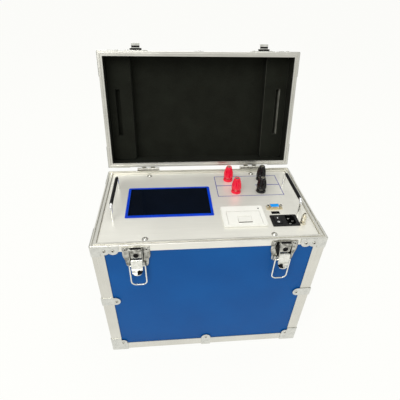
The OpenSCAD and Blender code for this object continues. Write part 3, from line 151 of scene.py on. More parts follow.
# Laminate walls and end panels
# Plywood boards faced with blue laminate, pressed with a fine pebble and slid into the edge trims.
# The laminate gives a deep even blue with a soft satin sheen.
def finish(name, light, dark, grain, relief, roughness, spread=0.05, metallic=0, ior=1.5, patch=0.05,
           fine_share=0.5, uv=False, **constants):
    """A finish whose fine grain and broad patches shade its colour, gloss and relief, sizes in metres"""
    material = bpy.data.materials.new(name)
    material.use_nodes = True
    tree = material.node_tree
    shader = tree.nodes["Principled BSDF"]
    shader.inputs["Metallic"].default_value = metallic
    if not metallic:
        shader.inputs["IOR"].default_value = ior
    for key, value in constants.items():
        shader.inputs[key.replace("_", " ")].default_value = value
    place = add_node(tree, "TexCoord").outputs["UV" if uv else "Object"]
    spot = add_node(tree, "Mapping", {"vector_type": "TEXTURE", "Scale": grain}, {"Vector": place})
    fine = add_node(tree, "TexNoise", {"Scale": 1, "Detail": 3}, {"Vector": spot.outputs[0]})
    broad = add_node(tree, "TexNoise", {"Scale": 1 / patch, "Detail": 2}, {"Vector": place})
    shade = add_node(tree, "Mix", {0: 1 - fine_share}, {2: fine.outputs[0], 3: broad.outputs[0]})
    tone = add_node(tree, "MapRange", {"From Min": 0.36, "From Max": 0.64}, {"Value": shade.outputs[0]})
    colour = add_node(tree, "Mix", {"data_type": "RGBA", 6: srgb(dark), 7: srgb(light)},
                      {0: tone.outputs[0]})
    gloss = add_node(tree, "MapRange", {"From Min": 0.3, "From Max": 0.7, "To Min": roughness - spread,
                                        "To Max": roughness + spread}, {"Value": shade.outputs[0]})
    bump = add_node(tree, "Bump", {"Strength": 1, "Distance": relief}, {"Height": fine.outputs[0]})
    tree.links.new(colour.outputs[2], shader.inputs["Base Color"])
    tree.links.new(gloss.outputs[0], shader.inputs["Roughness"])
    tree.links.new(bump.outputs[0], shader.inputs["Normal"])
    return material


def dress(material, *nodes):
    """Give solids that keep their own shape a better material"""
    for node in nodes:
        for slot in frame["nodes"][node].material_slots:
            slot.material = material


# A pebble of about 1.2 mm, drawn a little coarse so that it shows
blue_laminate = finish("pressed_laminate_blue", "#0d5aa2", "#085298", (0.0012, 0.0012, 0.0012), 0.00004,
                       0.44, patch=0.09, fine_share=0.35, Specular_IOR_Level=0.12)
dress(blue_laminate, "case_wall_panels", "case_base_panel", "lid_top_panel", "lid_wall_panels")


# Edge trims and rim frames
# L-shaped and channel-shaped aluminium extrusions with mitred corners, riveted over the boards' edges.
# Satin anodising leaves faint lines along each length, and the edges are rounded by the die.
def round_edges(shape, width, segments=2, angle=28):
    """Round every edge that turns by more than an angle"""
    edges = [edge for edge in shape.edges
             if len(edge.link_faces) == 2 and edge.calc_face_angle(0) > math.radians(angle)]
    return bmesh.ops.bevel(shape, geom=edges, offset=width, offset_type="OFFSET", affect="EDGES",
                           segments=segments, profile=0.5, material=-1, clamp_overlap=False)


def add_piece(name, shape, materials, body, replaced=(), sharp=35, even=True):
    """Make a bmesh a piece of the object that moves with a body"""
    mesh = bpy.data.meshes.new(name)
    shape.to_mesh(mesh)
    shape.free()
    if "custom_normal" in mesh.attributes:
        mesh.attributes.remove(mesh.attributes["custom_normal"])
    for material in materials:
        mesh.materials.append(material)
    mesh.shade_smooth()
    mesh.set_sharp_from_angle(angle=math.radians(sharp))
    piece = bpy.data.objects.new(name, mesh)
    bpy.context.scene.collection.objects.link(piece)
    if even:
        piece.modifiers.new("even_shading", "WEIGHTED_NORMAL").keep_sharp = True
    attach(piece, body)
    if replaced:
        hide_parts(*replaced)
    return piece


def merged(solid):
    """A copy of a solid's mesh, its loose triangles joined into flat faces"""
    shape = bmesh.new()
    shape.from_mesh(solid.data)
    bmesh.ops.remove_doubles(shape, verts=shape.verts, dist=1e-6)
    bmesh.ops.dissolve_limit(shape, angle_limit=math.radians(1), verts=shape.verts, edges=shape.edges)
    return shape


def soften(node, name, width, material, along=None, second=None, where=None):
    """Replace a solid by its own shape with rounded edges and, if asked, a map along its lengths and a
    second material on the faces whose centre and direction pass a test"""
    solid = frame["nodes"][node]
    shape = merged(solid)
    if width:
        round_edges(shape, width)
        shape.normal_update()
    for face in shape.faces:
        face.material_index = int(bool(where) and where(face.calc_center_median(), face.normal))
    if along:
        layer = shape.loops.layers.uv.verify()
        for face in shape.faces:
            line = along(face.calc_center_median())
            for loop in face.loops:
                run = loop.vert.co.dot(line)
                rest = loop.vert.co - run * line
                loop[layer].uv = (run, rest.x + rest.y + rest.z)
    materials = [material, second] if second else [material]
    return add_piece(name, shape, materials, solid["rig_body"], [node])


# The case's width, its depth and the height of its rim in mm, and the same in metres from the middle
case_w, case_d, rim_up = 398, 232, 311
half_w, half_d, rim_z = case_w / 2000, case_d / 2000, rim_up / 1000
lid_hinge = next(joint for joint in frame["joints"] if joint["name"] == "lid_hinge")
axis_y, axis_z = lid_hinge["pos_m"][1:]
lid_open = math.radians(lid_hinge["range_deg"][1])
# Both boxes are measured from their rims: the case's heights run down, the lid's depths run up when shut
case_place = Matrix.Translation((0, 0, rim_z))
lid_place = (Matrix.Translation((0, axis_y, axis_z)) @ Matrix.Rotation(-lid_open, 4, "X")
             @ Matrix.Translation((0, -axis_y, -axis_z)) @ Matrix.Translation((0, 0, 2 * axis_z - rim_z)))


def lengths(place, height=0):
    """The direction of the extrusion at a point: corner lengths stand within a height of the rim"""
    back = place.inverted()

    def line(point):
        spot = back @ point
        if abs(spot.z) < height:
            own = Vector((0, 0, 1))
        elif half_d - abs(spot.y) < half_w - abs(spot.x):
            own = Vector((1, 0, 0))
        else:
            own = Vector((0, 1, 0))
        return place.to_3x3() @ own
    return line


# How far the upright corner lengths reach from each rim
case_upright, lid_upright = 0.285, 0.039
# Die lines 0.6 mm apart that run about 60 mm, drawn from the map along each length
satin_extrusion = finish("satin_anodised_extrusion", "#dfddd4", "#cfcdc4", (0.06, 0.0006, 0.0006), 0.000012,
                         0.3, 0.05, metallic=1, patch=0.07, uv=True)
# The case's rim takes a brighter copy of the satin extrusion, a painted highlight for the white band along
# its front
highlit_extrusion = finish("anodised_rim_painted_highlight", "#f1efe6", "#e2e0d7", (0.06, 0.0006, 0.0006), 0.000012,
                         0.3, 0.05, metallic=1, patch=0.07, uv=True)
soften("case_edge_trims", "case_corner_angles", 0, satin_extrusion, along=lengths(case_place, case_upright))
soften("lid_edge_trims", "lid_corner_angles", 0, satin_extrusion, along=lengths(lid_place, lid_upright))
soften("case_rim_frame", "case_rim_channel", 0.00025, highlit_extrusion, along=lengths(case_place))
soften("lid_rim_frame", "lid_rim_channel", 0.00025, satin_extrusion, along=lengths(lid_place))


# Corner braces, clips and rivets
# Pressed steel caps and folded strips, zinc plated, that lie over the trims at each corner and edge.
# Domed rivets with bright heads hold them, and hold the hinges and latches too.

# Zinc plating is a pale grey with a faint cloudy spangle about 6 mm across
zinc_plate = finish("zinc_plated_pressing", "#dbdbd4", "#cacac4", (0.0012, 0.0012, 0.0012), 0.000012, 0.3,
                    0.06, metallic=1, patch=0.006, fine_share=0.3)
rivet_steel = finish("bright_rivet_steel", "#d8d7d0", "#b4b3ab", (0.0006, 0.0006, 0.0006), 0.000006, 0.22,
                     0.05, metallic=1, patch=0.003)
# The drawn well in a tubular rivet's head is painted brown-black, as shade in the recess
rivet_well_shade = finish("rivet_well_painted_shade", "#57503f", "#2f2b22", (0.0006, 0.0006, 0.0006), 0.00002, 0.7,
                    patch=0.002)
in_mm = Matrix.Scale(0.001, 4)
lid_mm = lid_place @ in_mm
# The two boxes' heights, and how far the latches and the hinges stand from the middle, in mm
case_h, lid_h = 306, 60
latch_x, hinge_x = 125.4, 114


def turned(outline, centres=((0, 0, 0),), steps=48, width=0.3, segments=2):
    """Spin a closed outline of (radius, height) points round an upright axis at each centre, in mm"""
    shape = bmesh.new()
    points = [shape.verts.new((radius, 0, height)) for radius, height in outline]
    edges = [shape.edges.new(pair) for pair in zip(points, points[1:] + points[:1])]
    bmesh.ops.spin(shape, geom=points + edges, cent=(0, 0, 0), axis=(0, 0, 1), dvec=(0, 0, 0),
                   angle=math.tau, steps=steps, use_merge=True)
    bmesh.ops.remove_doubles(shape, verts=shape.verts, dist=1e-4)
    bmesh.ops.recalc_face_normals(shape, faces=shape.faces)
    if width:
        round_edges(shape, width, segments, 20)
    first = shape.verts[:] + shape.edges[:] + shape.faces[:]
    for centre in centres[1:]:
        extra = bmesh.ops.duplicate(shape, geom=first)["geom"]
        moved = [part for part in extra if isinstance(part, bmesh.types.BMVert)]
        bmesh.ops.translate(shape, vec=Vector(centre) - Vector(centres[0]), verts=moved)
    bmesh.ops.translate(shape, vec=centres[0], verts=shape.verts)
    return shape


def rivet_seats(height, is_case):
    """Where the rivets sit: a matrix for each head, in mm from the rim, its z pointing out of the wall"""
    on_strap, on_plate = 1.2, 1.5
    for side in range(4):
        long, deep = (case_w, case_d / 2) if side % 2 == 0 else (case_d, case_w / 2)
        # One on the clip at the middle of the far edge
        spots = [(0, height - 27, on_strap)]
        for end in (-1, 1):
            # Two on the brace at the rim, one at the far corner and one on the upright's clip
            spots += [(end * (long / 2 - 22), 10.5, on_strap), (end * (long / 2 - 36), 10.5, on_strap),
                      (end * (long / 2 - 24), height - 25, on_strap)]
            if is_case:
                spots.append((end * (long / 2 - 27), 142, on_strap))
            # Four on each hinge leaf at the back, and two on each latch or catch in front
            for off in (-1, 1):
                if side == 2:
                    spots += [(end * hinge_x + off * 16, 11, on_plate),
                              (end * hinge_x + off * 16, 23, on_plate)]
                if side == 0:
                    spots.append((end * latch_x + off * 17.5, 8 if is_case else 12, on_plate))
        for along, drop, out in spots:
            yield (Matrix.Rotation(math.radians(90 * side), 4, "Z")
                   @ Matrix.Translation((along, -deep - out, -drop))
                   @ Matrix.Rotation(math.radians(90), 4, "X"))


def join(shape, part):
    """Add a part to a shape, and drop the part"""
    sample = bpy.data.meshes.new("sample")
    part.to_mesh(sample)
    part.free()
    shape.from_mesh(sample)
    bpy.data.meshes.remove(sample)


lid_upturned = lid_place @ Matrix.Scale(-1, 4, (0, 0, 1))
for box_name, place, height in (("case", case_place, case_h), ("lid", lid_upturned, lid_h)):
    soften(box_name + "_corner_braces", box_name + "_corner_caps", 0.0004, zinc_plate)
    soften(box_name + "_edge_clips", box_name + "_edge_straps", 0.0004, zinc_plate)
    heads = bmesh.new()
    for seat in rivet_seats(height, box_name == "case"):
        head = turned([(0, 0), (3, 0), (3, 0.25), (2.8, 0.75), (2.4, 1.08), (1.95, 1.2), (1.65, 1.12),
                       (1.4, 0.5), (0, 0.4)], steps=20, width=0)
        for face in head.faces:
            # The faces inside the head's well take the painted shade
            face.material_index = int(all(math.hypot(*v.co.xy) < 1.7 and v.co.z > 0.3 for v in face.verts))
        head.transform(place @ in_mm @ seat)
        join(heads, head)
    bmesh.ops.recalc_face_normals(heads, faces=heads.faces)
    add_piece(box_name + "_rivet_heads", heads, [rivet_steel, rivet_well_shade], box_name,
              [box_name + "_rivets"])


# Feet
# Four moulded rubber feet, each held under the base by a screw sunk in a well.
# Moulded rubber is nearly black with a dull sheen.
foot_rubber = finish("moulded_rubber_black", "#171717", "#0e0e0e", (0.0012, 0.0012, 0.0012), 0.00004, 0.6,
                     0.06, ior=1.52, patch=0.01, Specular_IOR_Level=0.2)
soften("rubber_feet", "case_feet", 0.0006, foot_rubber)


# Hinges
# Two steel butt hinges of five rolled knuckles, zinc plated, riveted to the back of the case and the lid.
# A bright pin runs through each, and one through each latch lever.

# The rolled knuckles are painted a shade darker than the leaves, as shade in the gap between the rims
knuckle_shade_steel = finish("knuckle_steel_painted_shade", "#d0cec4", "#8e8b83", (0.001, 0.001, 0.001), 0.00002, 0.35,
                     0.06, metallic=1, patch=0.004)
barrel_r = 0.0036


def on_knuckle(point, _):
    """Whether a point lies on a knuckle's barrel"""
    return math.hypot(point.y - axis_y, point.z - axis_z) < barrel_r


soften("hinge_case_leaves", "case_hinge_leaves", 0.0002, zinc_plate, second=knuckle_shade_steel, where=on_knuckle)
soften("hinge_lid_leaves", "lid_hinge_leaves", 0.0002, zinc_plate, second=knuckle_shade_steel, where=on_knuckle)
dress(rivet_steel, "pivot_pins")


# Latches
# Butterfly-style draw latches: a nickel-plated plate with a lobed foot, a lock housing between two ears, a
# lever with a scooped end, a wire bail hung in the lever, and a catch plate with a tongue on the lid.

# Nickel plate is bright with a warm cast and cloudy polishing marks about 6 mm across
nickel_plate = finish("nickel_plated_latch_steel", "#c9c8c0", "#75746c", (0.001, 0.001, 0.001), 0.000015,
                      0.16, 0.06, metallic=1, patch=0.006, fine_share=0.25)
bright_nickel = finish("bright_nickel_lever_steel", "#f2f1ea", "#d6d6cd", (0.001, 0.001, 0.001), 0.00001,
                       0.14, 0.05, metallic=1, patch=0.008, fine_share=0.25)
# The insides of the lock, the ears, the lever's scoop and the tongue's root are painted near black, as
# shade in and between the parts
painted_shade_black = finish("latch_painted_shade_black", "#0e0d0d", "#070606", (0.0008, 0.0008, 0.0008), 0.00002, 0.6,
                    0.05, patch=0.003, Specular_IOR_Level=0.12)


def box(size, centre):
    """A rectangular block, in mm"""
    shape = bmesh.new()
    bmesh.ops.create_cube(shape, size=1)
    bmesh.ops.scale(shape, vec=size, verts=shape.verts)
    bmesh.ops.translate(shape, vec=centre, verts=shape.verts)
    return shape


def thicken(shape, faces, height):
    """Raise flat faces that lie at z = 0 into a plate of a height"""
    raised = bmesh.ops.extrude_face_region(shape, geom=faces)["geom"]
    top = [part for part in raised if isinstance(part, bmesh.types.BMVert)]
    bmesh.ops.translate(shape, vec=(0, 0, height), verts=top)
    bmesh.ops.recalc_face_normals(shape, faces=shape.faces)


def plate(outline, thickness, width=0.3):
    """A flat plate with rounded edges and an outline of (x, y) points, in mm from z = 0 up"""
    shape = bmesh.new()
    face = shape.faces.new([shape.verts.new((x, y, 0)) for x, y in outline])
    thicken(shape, [face], thickness)
    round_edges(shape, width)
    return shape


def wire(path, radius, sides=14):
    """A round wire bent along a path in a plane that faces z, in mm"""
    shape = bmesh.new()
    last = None
    for index, point in enumerate(path):
        ahead = (path[min(index + 1, len(path) - 1)] - path[max(index - 1, 0)]).normalized()
        across = Vector((0, 0, 1)).cross(ahead)
        turn = Matrix((across, (0, 0, 1), -ahead)).transposed().to_4x4()
        ring = bmesh.ops.create_circle(shape, segments=sides, radius=radius,
                                       matrix=Matrix.Translation(point) @ turn)["verts"]
        edges = list({e for v in ring for e in v.link_edges})
        if last:
            bmesh.ops.bridge_loops(shape, edges=edges + last)
        last = edges
    bmesh.ops.holes_fill(shape, edges=shape.edges, sides=sides)
    bmesh.ops.recalc_face_normals(shape, faces=shape.faces)
    return shape


def printed(name, outlines, material, body, place, width=1.8, height=0.05):
    """Lay rectangles of ink (x, y, w, d): a wide one is drawn as an outline, a thin one is filled"""
    ink = bmesh.new()
    for x, y, w, d in outlines:
        corners = bmesh.ops.create_grid(ink, x_segments=1, y_segments=1, size=0.5)["verts"]
        bmesh.ops.scale(ink, vec=(w, d, 1), verts=corners)
        bmesh.ops.translate(ink, vec=(x, y, 0), verts=corners)
        if min(w, d) > 2 * width:
            middle = [face for face in ink.faces if all(v in corners for v in face.verts)]
            bmesh.ops.inset_region(ink, faces=middle, thickness=width, use_boundary=True)
            bmesh.ops.delete(ink, geom=middle, context="FACES")
    thicken(ink, ink.faces[:], height)
    ink.transform(place)
    return add_piece(name, ink, [material], body)


# The right half of the plate's outline, and an ear's outline as (height over the plate, y)
half_plate = [(22, -3.5), (22.8, -4.3), (23, -8), (23, -20), (22.7, -23.5), (21.7, -27.5), (20.4, -31),
              (19.5, -35), (19.2, -40), (18.6, -44), (17.3, -46.8), (15.4, -48.4), (13, -48.7),
              (10.9, -47.6), (9.6, -45.5), (9, -43)]
ear_outline = [(1.2, -5), (5, -4.4), (9, -9), (11.6, -19), (12.4, -25), (12.4, -28), (11.2, -30),
               (1.2, -33)]
# The plates' and the scoop's thickness in mm, and the height in metres where the levers' solids are cut
gauge, scoop_gauge, lever_cut_z = 1.5, 1.3, 0.2652
# The key's place on the housing, and the line on the lever where its scoop starts, as (y, z)
key_place = (-16, 8.3)
scoop_y, scoop_z = -45.4, 11.7
# The scoop's half width, its curl's radius, and how much of it is straight and for how long
scoop_half, scoop_r, straight_share, straight = 9.1, 5.6, 0.12, 2.4
# The bail's wire leaves the lever on a small bend at each side and comes round on a wide one
bail_r, bail_half, bail_z, hook_bend, loop_bend = 1.4, 13.3, 7, 1.5, 8.5
hook_x, hook_y = bail_half - hook_bend, -43
loop_x, loop_y = bail_half - loop_bend, -80.5
bail_path = [Vector((7.5, hook_y + hook_bend, bail_z))]
bail_path += [Vector((hook_x + hook_bend * math.sin(turn), hook_y + hook_bend * math.cos(turn), bail_z))
              for turn in (0, 0.52, 1.05, 1.57)]
bail_path += [Vector((loop_x + loop_bend * math.cos(turn), loop_y - loop_bend * math.sin(turn), bail_z))
              for turn in (0.131 * step for step in range(13))]
bail_path += [Vector((-point.x, point.y, point.z)) for point in reversed(bail_path)]
for side, middle in (("left", -latch_x), ("right", latch_x)):
    # On a latch x runs along the front, y up from the rim and z out of the trims' face
    latch_mm = (in_mm @ Matrix.Translation((middle, -case_d / 2, rim_up))
                @ Matrix.Rotation(math.radians(90), 4, "X"))
    base = plate(half_plate + [(-x, y) for x, y in reversed(half_plate)], gauge)
    housing = box((19.4, 19, 7.4), (0, -13, 4.8))
    round_edges(housing, 0.9, 3)
    join(base, housing)
    for x in (-11.2, 9.7):
        ear = plate(ear_outline, gauge)
        # The ear's flat sides take the painted shade, for the shadow beside the housing
        for face in ear.faces:
            face.material_index = int(abs(face.normal.z) > 0.9)
        # The outline lies in z and y, so the ear is stood up across the plate
        ear.transform(Matrix(((0, 0, 1, x), (0, 1, 0, 0), (1, 0, 0, 0), (0, 0, 0, 1))))
        bmesh.ops.reverse_faces(ear, faces=ear.faces)
        join(base, ear)
    base.transform(latch_mm)
    add_piece("latch_lock_plate_" + side, base, [nickel_plate, painted_shade_black], "case",
              ["latch_plates"])
    # The lock's core has a raised rim round its key slot, in a polished dished ring, and is painted black
    # as shade in the keyhole
    core = turned([(0, 0), (4.5, 0), (4.5, 0.5), (4.1, 0.8), (3.4, 0.8), (2.9, 0.3), (0, 0.3)], width=0)
    core.transform(latch_mm @ Matrix.Translation((0, *key_place)))
    add_piece("lock_core_shade_" + side, core, [painted_shade_black], "case")
    ring = turned([(4.5, 0), (6.6, 0), (6.6, 0.4), (6.1, 0.7), (5.2, 0.5), (4.5, 0.25)], width=0)
    ring.transform(latch_mm @ Matrix.Translation((0, *key_place)))
    add_piece("lock_ring_" + side, ring, [nickel_plate], "case")
    # The housing's open top is a slot that the tongue drops into; a black block fills it as painted shade
    slot_shade = box((17.2, 9, 5.4), (0, -7.9, 4.9))
    round_edges(slot_shade, 0.2)
    slot_shade.transform(latch_mm)
    add_piece("lock_slot_shade_" + side, slot_shade, [painted_shade_black], "case")
    bail = wire(bail_path, bail_r)
    bail.transform(latch_mm)
    add_piece("bail_wire_" + side, bail, [bright_nickel], frame["nodes"]["latch_bail_" + side]["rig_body"],
              ["latch_bail_" + side])
    # The lever keeps its solid down to the flanges' end, and goes on in a scoop that curls out and narrows
    lever = merged(frame["nodes"]["latch_lever_" + side])
    bmesh.ops.bisect_plane(lever, geom=lever.verts[:] + lever.edges[:] + lever.faces[:], dist=1e-7,
                           plane_co=(0, 0, lever_cut_z), plane_no=(0, 0, -1), clear_outer=True)
    bmesh.ops.holes_fill(lever, edges=lever.edges, sides=0)
    for face in lever.faces:
        face.material_index = 0
    round_edges(lever, 0.0003)
    scoop = bmesh.new()
    bmesh.ops.create_grid(scoop, x_segments=16, y_segments=20, size=0.5)
    for vert in scoop.verts:
        share = vert.co.y + 0.5
        half = scoop_half * math.sqrt(max(0.03, 1 - share ** 2.6))
        angle = max(0, share - straight_share) * 2.1
        drop = min(1, share / straight_share) * straight
        vert.co = (2 * half * vert.co.x, scoop_y - drop - scoop_r * math.sin(angle),
                   scoop_z + scoop_r * (1 - math.cos(angle)))
    bmesh.ops.recalc_face_normals(scoop, faces=scoop.faces)
    bmesh.ops.solidify(scoop, geom=scoop.faces[:], thickness=scoop_gauge)
    # Inside, the scoop's half towards the middle of the case takes painted shade
    for face in scoop.faces:
        centre = face.calc_center_median()
        toward = Vector((0, scoop_y - straight - centre.y, scoop_z + scoop_r - centre.z)).normalized()
        inside = centre.y < scoop_y - 2.2 and face.normal.dot(toward) > 0.8
        face.material_index = int(inside and centre.x * middle < 0)
    scoop.transform(latch_mm)
    join(lever, scoop)
    add_piece("lever_plate_" + side, lever, [bright_nickel, painted_shade_black],
              frame["nodes"]["latch_lever_" + side]["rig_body"], ["latch_lever_" + side])
    # Under the catch's tongue, two strips of painted shade darken the root
    under = (lid_mm @ Matrix.Translation((middle, -case_d / 2 - gauge, 1.5))
             @ Matrix.Rotation(math.pi, 4, "X"))
    printed("catch_root_shade_" + side, [(0, 2.1, 22.6, 3.4), (0, 6.6, 15.6, 3.2)], painted_shade_black, "lid",
            under, width=2, height=0.06)
soften("lid_catches", "lid_catch_plates", 0.0003, bright_nickel)


# Foam in the lid
# Black closed-cell foam: a sheet glued round the walls and over the top, and a thick block at each end.
# Each block has a knife-cut slot that takes a carrying handle when the lid is shut.
black_foam = finish("black_cut_foam", "#1f211a", "#15160f", (0.0018, 0.0018, 0.0018), 0.00012, 0.9, 0.04,
                    ior=1.45, patch=0.03, Specular_IOR_Level=0.2)
# The right block's rounded cut edges are painted paler, a painted highlight along them
foam_edge_highlight = finish("foam_edge_painted_highlight", "#4c4d45", "#35362f", (0.001, 0.001, 0.001), 0.0001, 0.95, 0.02,
                       ior=1.45, patch=0.012, Specular_IOR_Level=0.15)
# The right slot's outer wall is painted light grey, as light falling on it
foam_wall_painted_light = finish("slot_wall_painted_light", "#a9a99d", "#7d7d72", (0.001, 0.001, 0.001), 0.0001, 0.95, 0.02,
                      ior=1.45, patch=0.012, Specular_IOR_Level=0.15)
# The sheet's outside, the place of its edge and its thickness, in mm
sheet_w, sheet_d, sheet_deep, sheet_low, sheet_t = 385, 219, 47, 6.5, 2.5
lining = box((sheet_w, sheet_d, sheet_deep), (0, 0, sheet_low + sheet_deep / 2))
mouth = min(lining.faces, key=lambda face: face.calc_center_median().z)
bmesh.ops.inset_region(lining, faces=[mouth], thickness=sheet_t)
floor_face = bmesh.ops.extrude_discrete_faces(lining, faces=[mouth])["faces"]
bmesh.ops.translate(lining, vec=(0, 0, sheet_deep - sheet_t), verts=floor_face[0].verts)
round_edges(lining, 0.8)
bmesh.ops.subdivide_edges(lining, edges=lining.edges, cuts=11, use_grid_fill=True)
# The sheet is glued by hand, so its face rises and falls by a quarter of a millimetre
inner_x, inner_y, inner_z = sheet_w / 2 - sheet_t, sheet_d / 2 - sheet_t, sheet_low + sheet_deep - sheet_t
for vert in lining.verts:
    if abs(vert.co.x) < inner_x + 0.2 and abs(vert.co.y) < inner_y + 0.2 and vert.co.z < inner_z + 0.2:
        swell = 0.14 * (1 + noise.noise(vert.co / 34))
        inward = Vector((-vert.co.x / inner_x, -vert.co.y / inner_y, -1 if vert.co.z > inner_z - 1 else 0))
        vert.co += swell * inward
lining.transform(lid_mm)
add_piece("lid_foam_sheet", lining, [black_foam], "lid", ["lid_lining"])

# The blocks' size and place, then their slots' middle, half widths and depth, in mm
block_w, block_d, block_t, block_x, block_low = 48.7, 213.4, 21, 165.35, 30
slot_x, slot_y, slot_half_w, slot_half_d, slot_deep = 171, 4.5, 4.5, 48, 12
for side, sign in (("left", -1), ("right", 1)):
    block = box((block_w, block_d, block_t), (sign * block_x, 0, block_low + block_t / 2))
    upright = [e for e in block.edges if abs(e.verts[0].co.z - e.verts[1].co.z) > 1]
    bmesh.ops.bevel(block, geom=upright, offset=6, offset_type="OFFSET", affect="EDGES", segments=6,
                    profile=0.5, material=-1)
    cuts = [((sign * slot_x + edge * slot_half_w, 0, 0), (1, 0, 0)) for edge in (-1, 1)]
    cuts += [((0, slot_y + edge * slot_half_d, 0), (0, 1, 0)) for edge in (-1, 1)]
    for spot, way in cuts:
        bmesh.ops.bisect_plane(block, geom=block.verts[:] + block.edges[:] + block.faces[:], dist=1e-4,
                               plane_co=spot, plane_no=way)
    slot_centre = Vector((sign * slot_x, slot_y, block_low))
    slot_mouth = min(block.faces, key=lambda face: (face.calc_center_median() - slot_centre).length)
    slot_floor = bmesh.ops.extrude_discrete_faces(block, faces=[slot_mouth])["faces"]
    bmesh.ops.translate(block, vec=(0, 0, slot_deep), verts=slot_floor[0].verts)
    foams = [black_foam]
    rounded = round_edges(block, 0.7)["faces"]
    # On the right block the rounded edges take the painted highlight and the slot's outer wall the painted
    # light
    if side == "right":
        foams += [foam_edge_highlight, foam_wall_painted_light]
        for face in rounded:
            face.material_index = 1
        for face in block.faces:
            centre = face.calc_center_median()
            on_outer_wall = face.normal.x < -0.9 and abs(centre.x - slot_x - slot_half_w) < 0.5
            if on_outer_wall and block_low + 0.8 < centre.z < block_low + slot_deep - 0.5:
                face.material_index = 2
    block.transform(lid_mm)
    add_piece("foam_block_" + side, block, foams, "lid", ["lid_foam_blocks"])


# Chassis and what stands on it
# A zinc-plated tray with brass standoffs, a green measuring board, a galvanised power supply box, a black
# finned heat sink and a taped ring transformer. All are shut away under the panel.
board_green = finish("solder_masked_board", "#1c5c38", "#14472b", (0.0025, 0.0025, 0.0025), 0.00005, 0.4,
                     patch=0.01)
dress(board_green, "measuring_board", "display_board")
galvanised = finish("galvanised_sheet", "#c9cccc", "#b3b7b8", (0.002, 0.002, 0.002), 0.00001, 0.36, 0.08,
                    metallic=1, patch=0.012, fine_share=0.25)
dress(galvanised, "power_supply", "chassis_tray", "panel_support_frame")
black_anodised = finish("black_anodised_heat_sink", "#2b2b2d", "#1f1f21", (0.02, 0.0006, 0.0006), 0.00001,
                        0.4, 0.05, metallic=1)
dress(black_anodised, "heat_sink", "printer_head")
tape_amber = finish("amber_winding_tape", "#a8702a", "#8c5a1f", (0.0008, 0.02, 0.0008), 0.00004, 0.45,
                    ior=1.55, patch=0.008)
dress(tape_amber, "mains_transformer")
brass_standoff = finish("plain_turned_brass", "#d6b878", "#bd9c5c", (0.0006, 0.0006, 0.0006), 0.00001, 0.3,
                        metallic=1, patch=0.004)
dress(brass_standoff, "board_standoffs")


# Instrument panel
# A plate of rolled aluminium under a thin silver lacquer, screwed down at four points over a folded frame.
# It keeps faint lines along its width, and mirrors softly what stands on it.
panel_grey = finish("lacquered_rolled_aluminium", "#f2f0e6", "#e9e7dd", (0.05, 0.0007, 0.0007), 0.00001,
                    0.38, 0.03, metallic=0.4, patch=0.08)
soften("instrument_panel", "panel_plate", 0.0003, panel_grey)
soften("machine_screws", "panel_screws", 0.0002, rivet_steel)

# Blue-violet lines screen printed on the plate: a box round the terminals with a short line each side
panel_z = 0.307
panel_mm = Matrix.Translation((0, 0, panel_z)) @ in_mm
line_ink = finish("screen_print_ink_violet", "#24209a", "#1c188c", (0.0005, 0.0005, 0.0005), 0.00001, 0.5,
                  ior=1.48, patch=0.01, Specular_IOR_Level=0.2)
printed("panel_printed_lines", [(95.35, 53.75, 135.3, 73.5), (46.2, 55, 35.4, 1.8), (136.7, 55, 51.4, 1.8)],
        line_ink, "case", panel_mm)


# Touch screen
# A royal blue anodised bezel round a sheet of dark glass, let into the panel.
# The glass is glossy and nearly black with the display off.
bezel_blue = finish("anodised_bezel_blue", "#0042d2", "#0036ba", (0.0008, 0.0008, 0.0008), 0.00001, 0.34,
                    patch=0.02, Specular_IOR_Level=0.2)
soften("screen_frame", "screen_bezel", 0.0003, bezel_blue)
dark_glass = finish("dark_display_glass", "#0c121e", "#090e17", (0.002, 0.002, 0.002), 0.000001, 0.05, 0.02)
soften("screen_glass", "touch_glass", 0.0002, dark_glass)


# Thermal printer
# An ivory ABS flange and paper bay, with a hinged door, its pull tab and a slot that the paper leaves by.
# Moulded ABS is matt with a fine spark-eroded grain.
ivory_abs = finish("moulded_abs_ivory", "#f8f7ef", "#f1f0e7", (0.0009, 0.0009, 0.0009), 0.00003, 0.46,
                   ior=1.53, patch=0.03)
soften("printer_housing", "printer_frame", 0.0004, ivory_abs)
soften("printer_door", "paper_door", 0.00015, ivory_abs)
# The tab's front lip is undercut, and its front faces are painted dark as shade under it
lip_shade = finish("undercut_lip_painted_shade", "#5c5440", "#3a3428", (0.0009, 0.0009, 0.0009), 0.00003, 0.6,
                   ior=1.53, patch=0.01, Specular_IOR_Level=0.2)
tab = soften("printer_door_latch", "paper_door_tab", 0.0002, ivory_abs, second=lip_shade,
             where=lambda point, way: way.y < -0.7)
# Its front stands a little proud of the door, so that a finger can catch it
tab_top, tab_middle, tab_raise = 0.3103, -0.06, 0.0014
for vert in tab.data.vertices:
    if vert.co.z > tab_top and vert.co.y < tab_middle:
        vert.co.z += tab_raise
paper = finish("thermal_paper", "#f4f3ee", "#eceae4", (0.0006, 0.0006, 0.0006), 0.00001, 0.6, ior=1.45,
               patch=0.02)
dress(paper, "paper_roll")
# The indicator is a clear green lens pressed through the flange
lamp_lens = finish("green_indicator_lens", "#1d3a24", "#142b1a", (0.0006, 0.0006, 0.0006), 0.000002, 0.15,
                   ior=1.49, patch=0.003)
printer_x, printer_y, flange_t = 66.3, -49, 3.6
lens = turned([(0, 0), (1.3, 0), (1.3, 0.5), (1.1, 0.85), (0.7, 1.1), (0, 1.2)], width=0, steps=24)
lens.transform(panel_mm @ Matrix.Translation((printer_x + 31, printer_y + 19, flange_t)))
add_piece("printer_lamp_lens", lens, [lamp_lens], "case", even=False)


